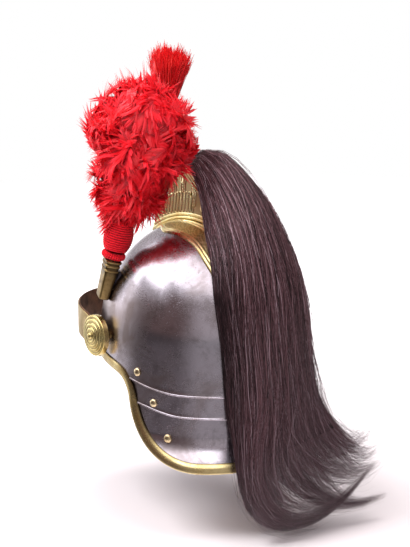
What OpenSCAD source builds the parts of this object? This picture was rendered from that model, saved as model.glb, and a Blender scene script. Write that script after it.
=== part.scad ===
// Cuirassier's helmet: steel skull and lamed neck guard, brass crest with a horsehair mane,
// red tuft and feather plume, brass rosettes and a chin strap looped round the front.
// Millimetres. The front faces -Y, the wearer's left is +X, and z = 0 is the strap's axis.

/* [Skull] */
// Half the skull's width
skull_half_width = 94; // [91:1:97]
// Half the skull's length, front to back
skull_half_length = 116; // [113:1:119]
// Height of the crown over the strap's axis
skull_height = 118; // [115:1:121]
// Thickness of the skull's steel
sheet = 1.2; // [1:0.1:1.4]
// How far the brow edge lies below the strap's axis
brow_drop = 26; // [24:1:28]
// How far the skull's edge lies below the axis at the nape
nape_drop = 47; // [45:1:49]

/* [Neck guard] */
// Lowest point of the neck guard below the strap's axis
guard_drop = 122.5; // [120:0.5:125]
// Height that the middle lame shows at the back
lame_step = 22; // [20:1:24]
// How far each lame runs up under the plate above it
lame_lap = 15; // [13:1:17]
// Thickness of a lame
lame_sheet = 1; // [0.8:0.1:1.1]
// Radial gap between plates that lap
lap_gap = 0.3; // [0.25:0.05:0.35]
// How far the neck guard flares at its lowest edge, as a part of its radius
neck_flare = 0.05; // [0.03:0.01:0.07]
// Width of the brass edging
edging_width = 8; // [7:0.5:9]
// Thickness of the edging's brass
edging_sheet = 1; // [0.8:0.1:1.2]
// Diameter of the domed rivets
rivet_diameter = 8.7; // [8:0.1:9.4]

/* [Visor] */
// How far the visor stands out at its middle
visor_reach = 16; // [14:1:17]
// How far the visor drops at its middle
visor_drop = 16; // [14:1:17]
// Thickness of the visor
visor_sheet = 1.1; // [1:0.1:1.3]

/* [Crest] */
// Half the crest's width over its side plates
crest_half_width = 12; // [11:0.5:13]
// Thickness of a side plate
crest_sheet = 1.2; // [1:0.1:1.4]
// Height of the crest's raised lines
relief = 0.8; // [0.6:0.1:1]
// Half the width of the flared base at its widest
base_half_width = 40; // [38:1:42]
// Number of upright flutes on each side
flutes = 11; // [9:1:12]

/* [Tuft] */
// Length of the bristles
tuft_length = 75; // [70:1:78]
// Radius of the bristles at their root
tuft_root = 6.4; // [6.1:0.1:6.6]
// Radius that the bristles fan out to
tuft_top = 23.5; // [20:0.5:25]

/* [Plume] */
// Length of the holder
holder_length = 43; // [41:0.5:44]
// Diameter of the thread-wound olive
olive_diameter = 31; // [29:0.5:32]
// Length of the whole oval that the olive is cut from
olive_length = 45; // [44:0.5:46]
// Turns of thread round the olive
olive_turns = 15; // [12:1:16]
// Diameter of the thread
thread = 1.6; // [1.4:0.1:1.6]

/* [Chin strap] */
// Width of the strap
strap_width = 33; // [30:1:34]
// Thickness of the leather
strap_leather = 1.2; // [1:0.1:1.3]
// Diameter of the rosettes
rosette_diameter = 43.4; // [41:0.2:45]
// Radius of the studs that the strap turns on
stud_radius = 3; // [2.8:0.1:3.2]
// Radial play of the strap on its studs
stud_play = 0.06; // [0.04:0.01:0.1]

/* [Hidden] */
// Columns round the skull
columns = 60;
// Gap between pieces that only lie on each other
seat = 0.3;

// Where the strap's axis stands, before the middle of the skull, and the skull's half-width there
axis_y = -46;
axis_half = skull_half_width * sqrt(1 - pow(axis_y / skull_half_length, 2));
flare_start = 50;
flare_span = 72;
skull_rows = 8;

// The skull's edge drops from brow to nape between these angles, in degrees round from the front
brow_until = 58;
nape_from = 128;
// Centre and reach of the neck guard's corner, in degrees round the skull
corner_angle = 134;
corner_reach = 41;
corner_top = 44;
edging_start = 58;
edge_hidden = 1.8;
guard_rise = 3.5;
middle_inset = sheet + lap_gap;
lower_inset = middle_inset + lame_sheet + lap_gap;
slot_depth = lower_inset + lame_sheet + seat;

// Places of the three rivets a side, [angle round the skull, height]
rivet_places = [[100, -28], [110, -57], [118.5, -91]];
rivet_insets = [0, middle_inset, lower_inset];

// The two strips over the middle lame: where the first starts round the skull, and its width there
strip_angle = 153.4;
strip_span = 3.2;
strip_sheet = 0.9;

visor_span = 46;
visor_flange = 7;
// Least drop of the visor, at its ends
visor_end = 4.5;

// The crest seen from the side, [y, z]: its top edge and its front edge as curves
crest_rear = skull_half_length - 18;
crest_front = -62;
crest_foot = -59;
crest_tip = skull_height + 95;
crest_top_curve = [[crest_front, crest_tip], [-17, skull_height + 82], [crest_rear, skull_height - 32]];
crest_front_curve = [
  [crest_foot - 2, skull_height - 14], [-38, skull_height + 32], [crest_front, crest_tip]];
base_sheet = 1.2;
crest_seat = seat + base_sheet + 0.6;
band_pitch = 2.8;
band_width = 1.5;
// Raised shapes start this far inside the sheet, and lie at these distances under the top edge
relief_root = 0.3;
leaf_depth = 24.5;
bead_depth = 11.4;
flute_foot = 10;
flute_length = 15;
flute_half = 1.6;
channel_depth = 6;
channel_start = 0.44;
base_front = -52;

// The mane's outline from the side, as [angle from upright, reach] about a point in the skull,
// drawn over a skull of this half-length and height
mane_pivot = [20, 40];
drawn_length = 116;
drawn_height = 118;
mane_outline = [[-12, 148], [-4.5, 152.5], [4.6, 150.5], [11.4, 147], [18.3, 140], [26.6, 134],
  [34, 129.5], [44, 124.5], [54, 119.6], [65, 117], [77, 116], [90, 118]];
// Half-width of the mane by that angle
mane_widths = [[-12, 9], [-4.5, 12.5], [3, 15.5], [11.4, 19], [22, 25], [39, 35], [60, 43], [76, 49],
  [90, 51]];
// Hanging part: [height, offset to the wearer's left, half-width, reach behind the pivot]
mane_hang = [[20, 0, 51.5, 120], [-3, -1, 51, 122], [-26, -3, 50, 123], [-46, -6, 51, 124]];
// The swept end, in the plane that it sweeps in: [right end, left end, half-thickness], each
// end as [across, towards the viewer, height]
mane_sweep = [
  [[141, 76, -84], [42, 133, -108], 15], [[145, 75, -93], [43, 132, -126], 16],
  [[150, 72, -100], [52, 124, -156], 18], [[157, 68, -103], [72, 114, -176], 19],
  [[164, 64, -104], [100, 98, -184], 18], [[172, 60, -104], [135, 80, -174], 16],
  [[181, 56, -106], [163, 66, -153], 13], [[189, 54, -110], [182, 58, -134], 8],
  [[195, 52, -116], [193, 53, -123], 3]];
sweep_heading = 140;
mane_gap = 3.2;
mane_sides = 10;
lock_depth = 1.6;

tuft_foot = [0, crest_front + 9, crest_tip - 5];
tuft_lean = 7.3;
tuft_rings = 10;
socket_height = 18;
spigot_radius = 3.2;
spigot_length = 4.6;
cap_start = 0.035;
cap_depth = 3.6;
cap_sheet = 1.2;

// The plume's axis: the foot of the holder stands off the skull's side, and leans outwards
plume_y = -51.9;
plume_z = 38.5;
plume_off = 9.33;
bracket_middle = plume_z + 8.5;
plume_foot = [
  plume_off + skull_half_width
    * sqrt(1 - pow(plume_y / skull_half_length, 2) - pow(bracket_middle / skull_height, 2)),
  plume_y, plume_z];
plume_lean = 17.6;
plume_heading = 114.1;
holder_turn = -48;
holder_sheet = 0.9;
// Half-sizes of the holder at its foot and its top
holder_foot = [8.5, 4.9];
holder_top = [11, 7.2];
stem_neck = [6.4, 5.4];
collar_ring = 9;
collar_tube = 3.9;
collar_at = holder_length + seat + collar_tube + 0.2;
// The thread is wound between two angles of the olive's oval
winding_from = 48;
winding_to = 147;
olive_at = collar_at + collar_tube + thread * 0.7 + olive_length / 2 * cos(winding_from);
neck_radius = 5;
neck_end = olive_at + olive_length / 2 * 0.84 + 2;
// The feathers' outline: [height, left end, right end, half-depth] across the viewer's line,
// drawn with the olive's neck ending at this place
feathers_drawn_at = [73.69, -27.51, 122.74];
feather_rows = [
  [125, -85, -69, 7], [128, -90, -46, 17], [137, -94, -29, 25], [149, -103, -21, 29],
  [160, -99, -13, 30], [171, -109, -8, 31], [182, -99, -1, 31], [194, -106, 3, 32], [207, -112, -2, 32],
  [219, -110, -4, 31], [230, -98, -7, 29], [240, -95, -14, 26], [250, -87, -24, 22], [258, -76, -33, 16],
  [264, -62, -45, 7]];
feather_depth = [[122.5, 26], [137, 33], [160, 38], [264, 40]];
feather_sides = 26;

// The strap in plan: an oval about a point before its axis, clear of the skull at its sides and front
strap_side_gap = 3.7;
strap_front_gap = 34;
strap_centre = axis_y - 14;
strap_half_width = axis_half + strap_side_gap;
strap_reach = skull_half_length + strap_front_gap + strap_centre;
strap_rise = 15;
strap_facing = 0.8;
strap_end = 10.7;
facing_gap = 0.2;
clasp_half = 7;
eyelet_radius = 4.8;
eyelet_head = 0.5;
facing_end = 85;
// The rosette's neck stands just off the eyelet's head
rosette_turn = 4;
rosette_wall = 6.4;
rosette_neck = 1.8;
rosette_at = strap_half_width + strap_leather + eyelet_head + 0.1 + rosette_neck;

band_low = -18;
band_high = 12;
band_sheet = 2;
leaf_count = 8;
leaf_sheet = 1.2;
leaf_foot = 1;
leaf_tip = skull_height - 34;
// Half-angle of a leaf at its foot and its tip
leaf_spread = [20.5, 13];

// Small helpers
function mix(a, b, k) = a + (b - a) * k;
function clip(x) = min(1, max(0, x));
function smooth(x) = clip(x) * clip(x) * (3 - 2 * clip(x));
function unit(v) = v / norm(v);
function bezier(c, t) = pow(1 - t, 2) * c[0] + 2 * t * (1 - t) * c[1] + t * t * c[2];
function bezier_way(c, t) = unit((1 - t) * (c[1] - c[0]) + t * (c[2] - c[1]));
// A point on a curve of [y, z], moved square to it
function beside(c, t, out) = bezier(c, t) + out * [-bezier_way(c, t)[1], bezier_way(c, t)[0]];

// The skull's surface: angle round from the front towards the wearer's left, height, offset out
function dome(z, out) = sqrt(max(0, 1 - pow(z / (skull_height + out), 2)));
function skirt(z) = 1 + neck_flare * pow(min(0, z + flare_start) / flare_span, 2);
function girth(z, out = 0) = z >= 0 ? dome(z, out) : skirt(z);
function on_skull(t, z, out = 0) = [
  (skull_half_width + out) * girth(z, out) * sin(t),
  -(skull_half_length + out) * girth(z, out) * cos(t),
  z];
function skull_way(t) = unit([skull_half_length * sin(t), -skull_half_width * cos(t), 0]);
// The same where the neck guard flares, tilted up square to its surface
function flare_way(t, z) = unit(skull_way(t)
  + [0, 0, -2 * neck_flare * min(0, z + flare_start) / flare_span / flare_span * skull_half_length]);
function turn(t) = t > 180 ? 360 - t : t;

// Heights of the plates' edges round the skull
function skull_edge(t) =
  -mix(brow_drop, nape_drop, smooth((turn(abs(t)) - brow_until) / (nape_from - brow_until)));
function middle_edge(t) = -(nape_drop + lame_step) + 9 * (1 - smooth((turn(t) - 92) / 35));
function corner_drop(hide) = guard_drop - corner_top - hide / 2;
function back_edge(t, hide) = -guard_drop + hide + guard_rise * smooth((turn(t) - corner_angle) / 46);
function corner_edge(t, hide) = let (k = (corner_angle - turn(t)) / (corner_reach - hide * 0.6))
  -corner_top + hide - corner_drop(hide) * sqrt(max(0, 1 - k * k));
function guard_edge(t, hide = 0) = turn(t) < corner_angle ? corner_edge(t, hide) : back_edge(t, hide);

// Angles round the neck guard, closer together at its front corner
function corner_angles(from) = [for (a = [from : 7.5 : 89])
  corner_angle - (corner_reach - edge_hidden * 0.6) * cos(a)];
function back_angles() = [for (a = [corner_angle : 9.2 : 180]) a];
function half_angles(from) = concat(corner_angles(from), back_angles());
function both_sides(a) = concat(a, [for (i = [len(a) - 2 : -1 : 0]) 360 - a[i]]);

// Skins over rows of equal loops of points
function quads(m, n, closed = false) = [
  for (i = [0 : (closed ? m - 1 : m - 2)])
    for (j = [0 : n - 1])
      let (l = (j + 1) % n, k = (i + 1) % m, a = i * n + j, b = i * n + l, c = k * n + j, d = k * n + l)
        each [[a, c, b], [b, c, d]]];
function strip_cap(n, base, flip) = [
  for (i = [0 : n / 2 - 2])
    let (a = base + i, b = base + i + 1, c = base + n - 2 - i, d = base + n - 1 - i)
      each flip ? [[a, c, b], [a, d, c]] : [[a, b, c], [a, c, d]]];
function middle(loop) = [for (k = [0 : 2]) [for (p = loop) p[k]] * [for (p = loop) 1] / len(loop)];

// Loops joined in a row, each end closed by a strip across the loop
module skin(loops) {
  m = len(loops);
  n = len(loops[0]);
  polyhedron(
    points = [for (l = loops) each l],
    faces = concat(quads(m, n), strip_cap(n, 0, false), strip_cap(n, (m - 1) * n, true)),
    convexity = 6);
}

// Loops joined in a row, each end closed by a fan
module spindle(loops) {
  m = len(loops);
  n = len(loops[0]);
  polyhedron(
    points = concat([for (l = loops) each l], [middle(loops[0]), middle(loops[m - 1])]),
    faces = concat(
      quads(m, n),
      [for (j = [0 : n - 1]) [m * n, j, (j + 1) % n]],
      [for (j = [0 : n - 1]) [m * n + 1, (m - 1) * n + (j + 1) % n, (m - 1) * n + j]]),
    convexity = 6);
}

// Loops joined round in a ring
module hoop(loops) {
  polyhedron(
    points = [for (l = loops) each l],
    faces = quads(len(loops), len(loops[0]), true),
    convexity = 6);
}

// A plate of the skull between two heights at each angle, as loops
function plate_loop(t, low, high, out, thick, steps) = concat(
  [for (i = [steps : -1 : 0]) on_skull(t, mix(low, high, i / steps), out)],
  [for (i = [0 : steps]) on_skull(t, mix(low, high, i / steps), out - thick)]);

// Skull
function skull_height_at(t, row) = row < 2
  ? skull_edge(t) * (1 - row / 2)
  : skull_height * sin(90 * (row - 2) / skull_rows);
function skull_ring(row, inset) = [for (i = [0 : columns - 1])
  let (t = 360 * i / columns, z = skull_height_at(t, row))
    on_skull(t, row < 2 ? z : z * (skull_height - inset) / skull_height, -inset)];

module skull() {
  rows = skull_rows + 2;
  outer = [for (r = [0 : rows - 1]) skull_ring(r, 0)];
  inner = [for (r = [rows - 1 : -1 : 0]) skull_ring(r, sheet)];
  n = columns;
  top = 2 * rows * n;
  color("LightSlateGray")
    polyhedron(
      points = concat(
        [for (l = outer) each l], [for (l = inner) each l],
        [[0, 0, skull_height], [0, 0, skull_height - sheet]]),
      faces = concat(
        [for (i = [0 : 2 * rows - 1]) if (i != rows - 1)
          for (j = [0 : n - 1])
            let (l = (j + 1) % n, k = (i + 1) % (2 * rows),
              a = i * n + j, b = i * n + l, c = k * n + j, d = k * n + l)
              each [[a, c, b], [b, c, d]]],
        [for (j = [0 : n - 1]) [(rows - 1) * n + j, top, (rows - 1) * n + (j + 1) % n]],
        [for (j = [0 : n - 1]) [rows * n + j, rows * n + (j + 1) % n, top + 1]]),
      convexity = 4);
}

// Neck guard
module middle_lame() {
  color("SlateGray")
    skin([for (t = both_sides(half_angles(0)))
      plate_loop(t, max(middle_edge(t), guard_edge(t, edge_hidden)), skull_edge(t) + lame_lap,
        -middle_inset, lame_sheet, 3)]);
}

module lower_lame() {
  color("SlateGray")
    skin([for (t = both_sides(half_angles(15)))
      plate_loop(t, guard_edge(t, edge_hidden), middle_edge(t) + lame_lap,
        -lower_inset, lame_sheet, 3)]);
}

// The edging runs from rosette to rosette along the skull's edge and round the neck guard
function edging_half() = concat(
  [for (t = [edging_start : 5 : 90]) [t, skull_edge(t) - edge_hidden]],
  [for (a = [6 : 7 : 89]) let (t = corner_angle - corner_reach * cos(a)) [t, guard_edge(t)]],
  [for (t = [corner_angle : 9.2 : 180]) [t, guard_edge(t)]]);
function edging_way() = let (h = edging_half())
  concat(h, [for (i = [len(h) - 2 : -1 : 0]) [360 - h[i][0], h[i][1]]]);

// Section of the edging: [out of the skull, back from its rim], down the outside and up the inside
function edging_section() = let (s = edging_sheet, o = seat, d = slot_depth, w = edging_width) [
  [o + s, -w], [o + s + 0.9, -w + 0.7], [o + s, -w + 1.6], [o + s, -1.4], [o + s - 0.4, 0],
  [-d - s + 0.4, 0], [-d - s, -1], [-d - s, -w],
  [-d, -w], [-d, -s], [-d + 0.3, -s], [o - 0.3, -s], [o, -s], [o, -w + 2.4], [o, -w + 1.2], [o, -w]];

function sweep_loop(p, ahead, side, section) =
  let (e = unit(cross(ahead, side)))
    [for (q = section) p + q[0] * side + q[1] * e];

module neck_edging() {
  way = edging_way();
  points = [for (w = way) on_skull(w[0], w[1])];
  last = len(way) - 1;
  color("Goldenrod")
    skin([for (i = [0 : last])
      let (ahead = unit(points[min(last, i + 1)] - points[max(0, i - 1)]))
        sweep_loop(points[i], ahead, flare_way(way[i][0], way[i][1]), edging_section())]);
}

module domed_rivet(diameter, rise) {
  r = diameter / 2;
  rotate_extrude($fn = 24)
    polygon([[0, 0], [r, 0], [r, rise * 0.18], [r * 0.86, rise * 0.52], [r * 0.6, rise * 0.83],
      [r * 0.3, rise * 0.97], [0, rise]]);
}

module neck_rivets() {
  color("Gold")
    for (side = [1, -1], i = [0 : len(rivet_places) - 1]) {
      t = rivet_places[i][0];
      way = flare_way(t, rivet_places[i][1]);
      p = on_skull(t, rivet_places[i][1], -rivet_insets[i]) + way * seat;
      translate([side * p[0], p[1], p[2]])
        rotate([0, acos(way[2]), atan2(way[1], side * way[0])])
          domed_rivet(rivet_diameter, 2.4);
    }
}

// Two brass strips lie over the middle lame at the back
module back_strips() {
  color("Goldenrod")
    for (from = [strip_angle, 360 - strip_angle - strip_span])
      skin([for (t = [from, from + strip_span / 2, from + strip_span])
        plate_loop(t, middle_edge(t) + 0.6, skull_edge(t) - 0.6,
          seat + strip_sheet - middle_inset, strip_sheet, 2)]);
}

// Visor
function visor_fall(t) = pow(cos(t * 90 / (visor_span + 4)), 1.6);
function visor_path(t) = let (k = visor_fall(t)) [
  [seat + 0.1, -brow_drop + visor_flange - 1], [seat + 0.1, -brow_drop - 1],
  [seat + 0.1 + visor_reach * k * 0.45, -brow_drop - 1 - (visor_drop * k + visor_end) * 0.42],
  [seat + 0.1 + visor_reach * k, -brow_drop - 1 - (visor_drop * k + visor_end)]];
function brow_point(t, q) =
  let (p = on_skull(t, -brow_drop / 2)) [p[0], p[1], 0] + q[0] * skull_way(t) + [0, 0, q[1]];
function visor_loop(t) = let (p = visor_path(t), s = visor_sheet) [
  for (q = [p[0], p[1], p[2], p[3], p[3] + [s * 0.75, s * 0.66], p[2] + [s * 0.9, s * 0.5],
    p[1] + [s, s * 0.2], p[0] + [s, 0]]) brow_point(t, q)];
visor_angles = [for (i = [0 : 22]) visor_span * sin(-90 + 180 * i / 22)];

module visor() {
  color("LightSlateGray")
    skin([for (t = visor_angles) [for (i = [7 : -1 : 0]) visor_loop(t)[i]]]);
}

// Section of the visor's edging about the plate's lip: [square to the plate, along it]
function lip_section() = let (s = 0.8, o = visor_sheet + 0.4, w = 2.4) [
  [o + s, -w], [o + s, -0.8], [o + s - 0.4, 0.9], [-0.3 - s, 0.9], [-0.4 - s, -w],
  [-0.4, -w], [-0.4, 0.4], [o - 0.2, 0.4], [o, -0.4], [o, -w]];

module visor_edging() {
  color("Goldenrod")
    skin([for (t = visor_angles)
      let (p = visor_path(t), e = unit(p[3] - p[2]), m = [-e[1], e[0]])
        [for (q = lip_section()) brow_point(t, p[3] + q[0] * m + q[1] * e)]]);
}

// Crest
function crest_floor(y, rise = 0) = let (o = crest_seat + rise)
  (skull_height + o)
    * sqrt(1 - pow(crest_half_width / (skull_half_width + o), 2) - pow(y / (skull_half_length + o), 2));
function crest_outline() = concat(
  [for (i = [0 : 10]) bezier(crest_front_curve, i / 10)],
  [for (i = [1 : 18]) bezier(crest_top_curve, i / 18)],
  [for (i = [0 : 20]) let (y = mix(crest_rear, crest_foot, i / 20)) [y, crest_floor(y)]]);

// Height of the crest's top edge at a place along the helmet
function crest_top_at(y) =
  let (c = crest_top_curve, a = c[0][0] - 2 * c[1][0] + c[2][0], b = 2 * (c[1][0] - c[0][0]))
    bezier(c, (sqrt(b * b - 4 * a * (c[0][0] - y)) - b) / (2 * a))[1];

// A flat shape of [y, z] given thickness along x
module upright(from, thick) {
  translate([from, 0, 0])
    rotate([90, 0, 90])
      linear_extrude(thick)
        children();
}

module top_bands() {
  for (i = [0 : 2]) {
    low = -1 - i * band_pitch;
    polygon(concat(
      [for (k = [0 : 22]) beside(crest_top_curve, mix(0.04, 0.88, k / 22), low)],
      [for (k = [22 : -1 : 0]) beside(crest_top_curve, mix(0.04, 0.88, k / 22), low - band_width)]));
  }
}

module floor_bands() {
  for (rise = [0.8, 4.2])
    polygon(concat(
      [for (k = [0 : 20]) let (y = mix(-46, 92, k / 20)) [y, crest_floor(y, rise)]],
      [for (k = [20 : -1 : 0]) let (y = mix(-46, 92, k / 20)) [y, crest_floor(y, rise + 1.8)]]));
}

// A slot shape with round ends between two points of [y, z]
module slot_shape(a, b, r) {
  way = unit(b - a);
  side = [-way[1], way[0]];
  polygon(concat(
    [for (k = [0 : 18 : 180]) b + r * (cos(k) * side + sin(k) * way)],
    [for (k = [0 : 18 : 180]) a - r * (cos(k) * side + sin(k) * way)]));
}

module flute_shapes() {
  for (i = [0 : flutes - 1]) {
    y = mix(-40, 9, i / (flutes - 1));
    foot = crest_floor(y, flute_foot);
    slot_shape([y, foot], [y + 2.5 - i * 0.1, min(foot + flute_length, crest_top_at(y) - 31)], flute_half);
  }
}

// A drop-shaped leaf with its tip up, about its broad end
module leaf_shape(size) {
  polygon(concat(
    [for (a = [-150 : 15 : 150]) size * [sin(a), -cos(a)] * 0.5],
    [[0, size * 1.25]]));
}

module leaf_places() {
  for (t = [0.33, 0.43, 0.53, 0.63]) {
    p = beside(crest_top_curve, t, -leaf_depth);
    way = bezier_way(crest_top_curve, t);
    translate(p) rotate(atan2(way[1], way[0]) + 18) children();
  }
}

module bead_places() {
  for (t = [0.12 : 0.045 : 0.78])
    translate(beside(crest_top_curve, t, -bead_depth)) children();
}

module crest_side() {
  inner = crest_half_width - crest_sheet;
  upright(inner, crest_sheet) polygon(crest_outline());
  root = crest_half_width - relief_root;
  upright(root, relief_root + relief) {
    top_bands();
    floor_bands();
    flute_shapes();
  }
  upright(root, relief_root + relief - 0.1) leaf_places() leaf_shape(8);
  upright(root, relief_root + relief * 1.6) leaf_places() leaf_shape(4.8);
  upright(root, relief_root + relief + 0.1) bead_places() circle(1, $fn = 16);
}

module crest_left_plate() {
  color("Goldenrod") crest_side();
}

module crest_right_plate() {
  color("Goldenrod") mirror([1, 0, 0]) crest_side();
}

// Strip of [y, z] along a curve, between two distances from it
module curve_strip(c, from, to, low, high) {
  polygon(concat(
    [for (k = [0 : 16]) beside(c, mix(from, to, k / 16), high)],
    [for (k = [16 : -1 : 0]) beside(c, mix(from, to, k / 16), low)]));
}

module crest_front_plate() {
  half = crest_half_width - crest_sheet - 0.1;
  p = beside(crest_front_curve, 0.55, 0);
  way = bezier_way(crest_front_curve, 0.55);
  color("Goldenrod") {
    upright(-half, 2 * half) curve_strip(crest_front_curve, 0.03, 0.93, -1.2, 0);
    translate([0, p[0], p[1]])
      rotate([90 - atan2(way[1], way[0]) + 90, 0, 0])
        mirror([0, 0, 1])
          rotate_extrude($fn = 32)
            polygon([[0, -0.6], [9, -0.6], [9, 0.8], [7.6, 1.6], [6.4, 1], [5.4, 2.4], [3.4, 3.4], [0, 3.8]]);
  }
}

// The cap closes the crest before the mane, with a hole for the tuft's socket
module crest_cap() {
  half = crest_half_width - crest_sheet - 0.1;
  color("Goldenrod")
    difference() {
      upright(-half, 2 * half)
        curve_strip(crest_top_curve, cap_start, channel_start - 0.01, -cap_depth - cap_sheet, -cap_depth);
      tuft_frame()
        translate([0, 0, -socket_height])
          cylinder(h = 2 * socket_height, r = spigot_radius + seat, $fn = 40);
    }
}

module crest_channel() {
  half = crest_half_width - crest_sheet - 0.1;
  color("DarkGoldenrod")
    upright(-half, 2 * half)
      curve_strip(crest_top_curve, channel_start, 0.99, -channel_depth - crest_sheet, -channel_depth);
}

module mane_root() {
  color([0.12, 0.09, 0.08])
    upright(-crest_half_width + 4, 2 * crest_half_width - 8)
      curve_strip(crest_top_curve, channel_start + 0.01, 0.98, -channel_depth + 0.2, -0.6);
}

// The flared base lies on the skull under the crest
function base_width(y) =
  mix(14, base_half_width, smooth((y - base_front) / 52)) + 3 * smooth((y - 40) / 30);
function base_z(x, y, out) = (skull_height + out)
  * sqrt(1 - pow(x / (skull_half_width + out), 2) - pow(y / (skull_half_length + out), 2));
function base_loop(y) = let (w = base_width(y), n = 12) concat(
  [for (i = [0 : n]) let (x = mix(-w, w, i / n)) [x, y, base_z(x, y, seat + base_sheet)]],
  [for (i = [n : -1 : 0]) let (x = mix(-w, w, i / n)) [x, y, base_z(x, y, seat)]]);

module crest_base() {
  color("Goldenrod")
    skin([for (i = [0 : 22]) base_loop(mix(base_front, crest_rear - 10, i / 22))]);
}

module tuft_frame() {
  translate(tuft_foot) rotate([-tuft_lean, 0, 0]) children();
}

module tuft_socket() {
  color("Gold")
    tuft_frame()
      rotate_extrude($fn = 40)
        difference() {
          polygon([[0, -spigot_length], [spigot_radius, -spigot_length], [spigot_radius, 1], [9.5, 1],
            [9.5, 3], [8.2, 4.2], [7.7, 7], [7.7, socket_height - 3], [8.6, socket_height - 2],
            [8.6, socket_height], [0, socket_height]]);
          translate([0, 3]) square([tuft_root + 0.1, socket_height]);
        }
}

module tuft_plug() {
  color("FireBrick")
    tuft_frame()
      translate([0, 0, 3.3])
        cylinder(h = socket_height + 1 - 3.3, r = tuft_root, $fn = 40);
}

// Bristles: every second triangle of a six-sided grid grows into one strand
function grid_point(i, j) = [i + j / 2, j * sqrt(3) / 2];
function grid_id(i, j) = (j + tuft_rings) * (2 * tuft_rings + 1) + i + tuft_rings;
function in_grid(i, j) = abs(i) <= tuft_rings && abs(j) <= tuft_rings && abs(i + j) <= tuft_rings;
function grow(p, k) = let (s = mix(1, tuft_top / tuft_root, k)) [p[0] * s, p[1] * s, tuft_length * k];

module tuft() {
  r = tuft_rings;
  step = tuft_root / r;
  n = 2 * r + 1;
  foot = [for (j = [-r : r]) for (i = [-r : r]) let (p = step * grid_point(i, j)) [p[0], p[1], 0]];
  roots = [for (j = [-r : r - 1]) for (i = [-r : r - 1])
    if (in_grid(i, j) && in_grid(i + 1, j) && in_grid(i, j + 1))
      [grid_id(i, j), grid_id(i + 1, j), grid_id(i, j + 1)]];
  flats = [for (j = [-r : r - 1]) for (i = [-r : r - 1])
    if (in_grid(i + 1, j) && in_grid(i + 1, j + 1) && in_grid(i, j + 1))
      [grid_id(i + 1, j), grid_id(i + 1, j + 1), grid_id(i, j + 1)]];
  lengths = rands(0.86, 1, len(roots), 7);
  tips = [for (s = [0 : len(roots) - 1])
    let (c = (foot[roots[s][0]] + foot[roots[s][1]] + foot[roots[s][2]]) / 3, top = grow(c, lengths[s]))
      for (q = roots[s]) top + (foot[q] - c) * 1.5];
  rim = [for (k = [0 : 5]) for (m = [0 : r - 1])
    let (corner = [[r, 0], [0, r], [-r, r], [-r, 0], [0, -r], [r, -r]],
      a = corner[k], b = corner[(k + 1) % 6])
      [a[0] + (b[0] - a[0]) * m / r, a[1] + (b[1] - a[1]) * m / r]];
  low = [for (q = rim) let (p = step * grid_point(q[0], q[1])) [p[0], p[1], -1]];
  tip_from = n * n;
  low_from = tip_from + len(tips);
  centre = low_from + len(low);
  count = len(rim);
  color("Red")
    tuft_frame()
      translate([0, 0, socket_height + 2.3])
        polyhedron(
          points = concat(foot, tips, low, [[0, 0, -1]]),
          faces = concat(
            [for (f = flats) [f[0], f[2], f[1]]],
            [for (s = [0 : len(roots) - 1]) for (e = [0 : 2])
              let (f = (e + 1) % 3, a = roots[s][e], b = roots[s][f],
                c = tip_from + 3 * s + e, d = tip_from + 3 * s + f)
                each [[a, c, b], [b, c, d]]],
            [for (s = [0 : len(roots) - 1]) [tip_from + 3 * s, tip_from + 3 * s + 2, tip_from + 3 * s + 1]],
            [for (m = [0 : count - 1])
              let (l = (m + 1) % count, a = grid_id(rim[m][0], rim[m][1]), b = grid_id(rim[l][0], rim[l][1]),
                c = low_from + m, d = low_from + l)
                each [[c, a, d], [d, a, b]]],
            [for (m = [0 : count - 1]) [centre, low_from + m, low_from + (m + 1) % count]]),
          convexity = 8);
}

// Mane: loops over the crest and down the back, then loops that sweep aside
function skull_reach(a, z, x, out) =
  let (s = sin(a), c = cos(a), y0 = mane_pivot[0], b = skull_half_length + out, h = skull_height + out,
    w = (skull_half_width + out) * (z < 0 ? skirt(z) : 1))
  z < 0 || (a == 90 && z < mane_pivot[1])
    ? b * girth(z, out) * sqrt(max(0.001, 1 - pow(x / (w * (z >= 0 ? dome(z, out) : 1)), 2))) - y0
    : let (qa = s * s / b / b + c * c / h / h, qb = y0 * s / b / b + z * c / h / h,
        qc = y0 * y0 / b / b + z * z / h / h + x * x / w / w - 1)
      (-qb + sqrt(qb * qb - qa * qc)) / qa;

// Places across a row, from the wearer's right to the left
function across(w) = [for (j = [-mane_sides : mane_sides]) w * sin(90 * j / mane_sides)];
function arch(x, w) = pow(max(0, 1 - pow(abs(x) / w, 2.3)), 1 / 2.3);

function mane_loop(a, z, shift, w, reach, ridge, drape) =
  let (notch = min(w * 0.88, crest_half_width + relief * 1.6 + 0.7),
    wrap = 5 * smooth((w - 15.5) / 3.5),
    place = function(x, r) [x + shift, mane_pivot[0] + r * sin(a), z + r * cos(a)],
    floor_at = function(x) mix(ridge - wrap, skull_reach(a, z, x + shift, 0) + mane_gap, drape),
    edge = floor_at(w) + 3, top = reach,
    outer = [for (j = [0 : 2 * mane_sides]) let (x = across(w)[j])
      place(x, mix(min(edge, floor_at(-w) + 3), top, arch(x, w)) - lock_depth * (j % 2))],
    steps = [0.99, 0.75, 0.5, 0.25],
    side = w - notch,
    inner = concat(
      [for (k = steps) let (x = notch + side * k) place(x, floor_at(x))],
      [place(notch + side * 0.02, floor_at(notch)), place(notch, max(ridge, floor_at(notch))),
        place(0, max(ridge, floor_at(0))),
        place(-notch, max(ridge, floor_at(-notch))), place(-notch - side * 0.02, floor_at(-notch))],
      [for (i = [3 : -1 : 0]) let (x = -notch - side * steps[i]) place(x, floor_at(x))]))
    concat(outer, inner);

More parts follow.
